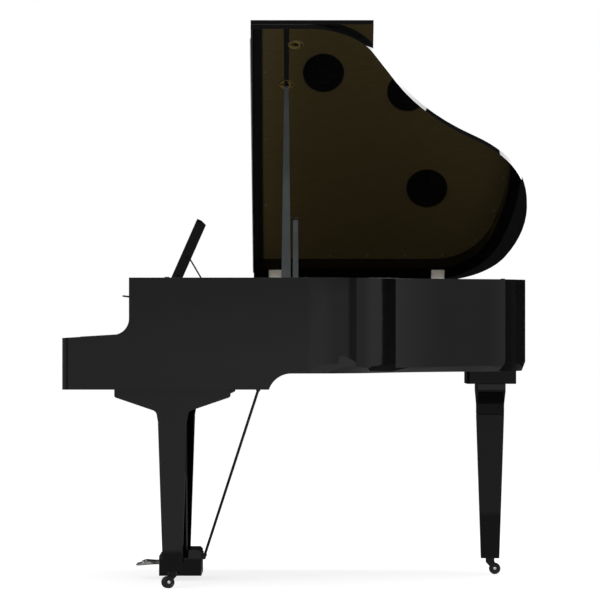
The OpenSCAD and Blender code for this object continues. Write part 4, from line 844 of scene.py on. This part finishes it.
class PIANO_OT_studio(PieceOperator, bpy.types.Operator):
    """Sets up floor, surroundings, lamps and camera"""

    bl_idname = "piano.studio"
    bl_label = "Studio"

    def execute(self, context):
        self.surroundings(context.scene)
        self.floor()
        self.card("tail_wall", left=-2.252, right=0.85, low=0, high=2, y=3.5,
                  levels=((-2.25, 0.19), (-0.9, 0.26), (0, 0.28), (0.8, 0.34)))
        self.card("tail_flag", left=-0.36, right=-0.16, low=0.55, high=1.05, y=1.0,
                  levels=((-0.36, 0.038), (-0.16, 0.038)))
        softbox("overhead", place=(-0.6, 0.2, 5.0), target=(-0.3, 0, 0.9), size=(2.6, 3.0), power=150)
        softbox("treble_side", place=(5.0, -1.5, 3.6), target=(0, 0, 0.9), size=(2.4, 1.6), power=130)
        self.camera(context.scene)
        return {"FINISHED"}

    def surroundings(self, scene):
        """White for the camera, plain light for the object, and the studio's walls and window in its gloss."""
        world = bpy.data.worlds.new("studio")
        scene.world = world
        world.use_nodes = True
        tree = NodeTree(world.node_tree)
        direction = tree.node("ShaderNodeTexCoord", output="Generated")
        x, y, z = (tree.node("ShaderNodeSeparateXYZ", {0: direction}, output=axis) for axis in "XYZ")
        turn = y.maths("ARCTAN2", y, x) / math.tau + 0.5
        walls = tree.node("ShaderNodeValToRGB", {"Fac": turn}, stops=[(at / 360 + 0.5, level) for at, level in WALLS])
        ceiling = z.between(0.25, 0.6)
        window = (turn > WINDOW[0] / 360 + 0.5) * (turn < WINDOW[1] / 360 + 0.5) * (z > WINDOW[2]) * (z < WINDOW[3])
        horizon = z.between(-0.007, 0.007, 0.98, 0.76)
        gloss = walls * horizon * (1 - ceiling) + CEILING_LEVEL * ceiling + window * WINDOW_LEVEL
        rays = {name: tree.node("ShaderNodeLightPath", output=name)
                for name in ("Is Camera Ray", "Is Glossy Ray", "Is Transmission Ray")}
        seen = rays["Is Camera Ray"] + rays["Is Transmission Ray"]
        level = seen + rays["Is Glossy Ray"] * gloss + (1 - seen - rays["Is Glossy Ray"]) * PLAIN_LIGHT
        light = tree.node("ShaderNodeBackground", {"Color": (1, 1, 1, 1), "Strength": level})
        tree.node("ShaderNodeOutputWorld", {"Surface": light})

    def floor(self):
        """A wide floor, white for the camera except in the object's shadow; in the gloss it glows as a painted
        reflection, with painted shade, darkest past the bass side, and painted light past the treble side and past the
        tail.
        """
        bm = bmesh.new()
        bmesh.ops.create_circle(bm, cap_ends=True, segments=96, radius=12)
        plane, tree = self.stage_piece("floor", bm)
        plane.location.z = -FLOOR_DROP
        coords = tree.node("ShaderNodeTexCoord", output="Object")
        x, y = (tree.node("ShaderNodeSeparateXYZ", {0: coords}, output=axis) for axis in "XY")
        # Painted light in the floor's reflection past the treble side, brighter towards the keys
        treble_side = x.between(1.75, 1.9) * y.between(-0.4, 0.7, 0.27, 0.12)
        # Painted shade in the floor's reflection: dim, and darkest past the bass side
        below = x.between(-0.7, -0.3, 0.045, 0.17)
        # Painted light in the floor's reflection past the tail
        behind = x.between(-1.45, -1.3) * y.between(1.0, 1.2) * 0.32
        gloss = treble_side + below + behind
        seen = tree.node("ShaderNodeLightPath", output="Is Camera Ray")
        mirrored = tree.node("ShaderNodeLightPath", output="Is Glossy Ray")
        lit = tree.node("ShaderNodeBsdfDiffuse", {"Color": (0.5, 0.5, 0.5, 1)})
        soft = tree.node("ShaderNodeBsdfDiffuse", {"Color": (0.32, 0.32, 0.32, 1)})
        glow = tree.node("ShaderNodeEmission", {"Color": (1, 1, 1, 1), "Strength": 0.78})
        # Only the gloss sees this glow: a painted reflection of the floor, with its painted light and shade
        painted_floor_reflection = tree.node("ShaderNodeEmission", {"Color": (1, 1, 1, 1), "Strength": gloss})
        white = tree.node("ShaderNodeAddShader", {0: soft, 1: glow})
        both = tree.node("ShaderNodeMixShader", {0: seen, 1: lit, 2: white})
        every = tree.node("ShaderNodeMixShader", {0: mirrored, 1: both, 2: painted_floor_reflection})
        tree.node("ShaderNodeOutputMaterial", {"Surface": every})

    def stage_piece(self, name, bm):
        """A part of the studio with an empty material of its own."""
        piece = add(name, mesh_of(name, bm))
        material = bpy.data.materials.new(name)
        material.use_nodes = True
        piece.data.materials.append(material)
        return piece, NodeTree(material.node_tree)

    def card(self, name, left, right, low, high, y, levels):
        """An upright card that only the gloss of the lacquer shows, with its levels from left to right."""
        bm = bmesh.new()
        bmesh.ops.create_grid(
            bm, x_segments=1, y_segments=1, size=0.5,
            matrix=Matrix.Translation(((left + right) / 2, y, (low + high) / 2)) @ Matrix.Rotation(math.pi / 2, 4, "X")
            @ Matrix.Diagonal((right - left, high - low, 1, 1)))
        tree = self.stage_piece(name, bm)[1]
        coords = tree.node("ShaderNodeTexCoord", output="Object")
        x = tree.node("ShaderNodeSeparateXYZ", {0: coords}, output="X")
        level = tree.node("ShaderNodeValToRGB", {"Fac": x.between(left, right)},
                          stops=[((at - left) / (right - left), level) for at, level in levels])
        mirrored = tree.node("ShaderNodeLightPath", output="Is Glossy Ray")
        clear = tree.node("ShaderNodeBsdfTransparent")
        glow = tree.node("ShaderNodeEmission", {"Color": level, "Strength": 1.0})
        both = tree.node("ShaderNodeMixShader", {0: mirrored, 1: clear, 2: glow})
        tree.node("ShaderNodeOutputMaterial", {"Surface": both})

    def camera(self, scene):
        """The photograph's camera: far off on the treble side, level, just below the rim's top."""
        lens = bpy.data.cameras.new("camera")
        lens.sensor_width = 36
        lens.lens = FOCAL_PIXELS * lens.sensor_width / PHOTO_PIXELS
        lens.shift_y = RAISED_PIXELS / PHOTO_PIXELS
        lens.clip_start, lens.clip_end = 0.5, 200
        camera = add("camera", lens)
        camera.location = CAMERA
        camera.rotation_euler = (math.radians(90), 0, math.radians(90))
        scene.camera = camera
        scene.view_settings.view_transform = "Standard"


class PIANO_PT_panel(bpy.types.Panel):
    """Lists the steps of the finish"""

    bl_idname = "PIANO_PT_panel"
    bl_label = "Grand Piano"
    bl_space_type = "VIEW_3D"
    bl_region_type = "UI"
    bl_category = "Piano"

    def draw(self, context):
        layout = self.layout
        for group in (context.scene.piano_rounding, context.scene.piano_colours):
            for name in group.bl_rna.properties.keys():
                if name not in ("rna_type", "name"):
                    layout.prop(group, name)
        for operator in STEPS:
            layout.operator(operator.bl_idname)


STEPS = (
    PIANO_OT_case, PIANO_OT_inside, PIANO_OT_lid, PIANO_OT_props, PIANO_OT_desk, PIANO_OT_keys,
    PIANO_OT_controls, PIANO_OT_legs, PIANO_OT_lyre, PIANO_OT_studio,
)
CLASSES = (PianoRounding, PianoColours, *STEPS, PIANO_PT_panel)


def register():
    for cls in CLASSES:
        bpy.utils.register_class(cls)
    bpy.types.Scene.piano_rounding = PointerProperty(type=PianoRounding)
    bpy.types.Scene.piano_colours = PointerProperty(type=PianoColours)


def unregister():
    del bpy.types.Scene.piano_colours
    del bpy.types.Scene.piano_rounding
    for cls in reversed(CLASSES):
        bpy.utils.unregister_class(cls)


def main():
    register()
    for step in STEPS:
        group, name = step.bl_idname.split(".")
        getattr(getattr(bpy.ops, group), name)()


if __name__ == "__main__":
    main()
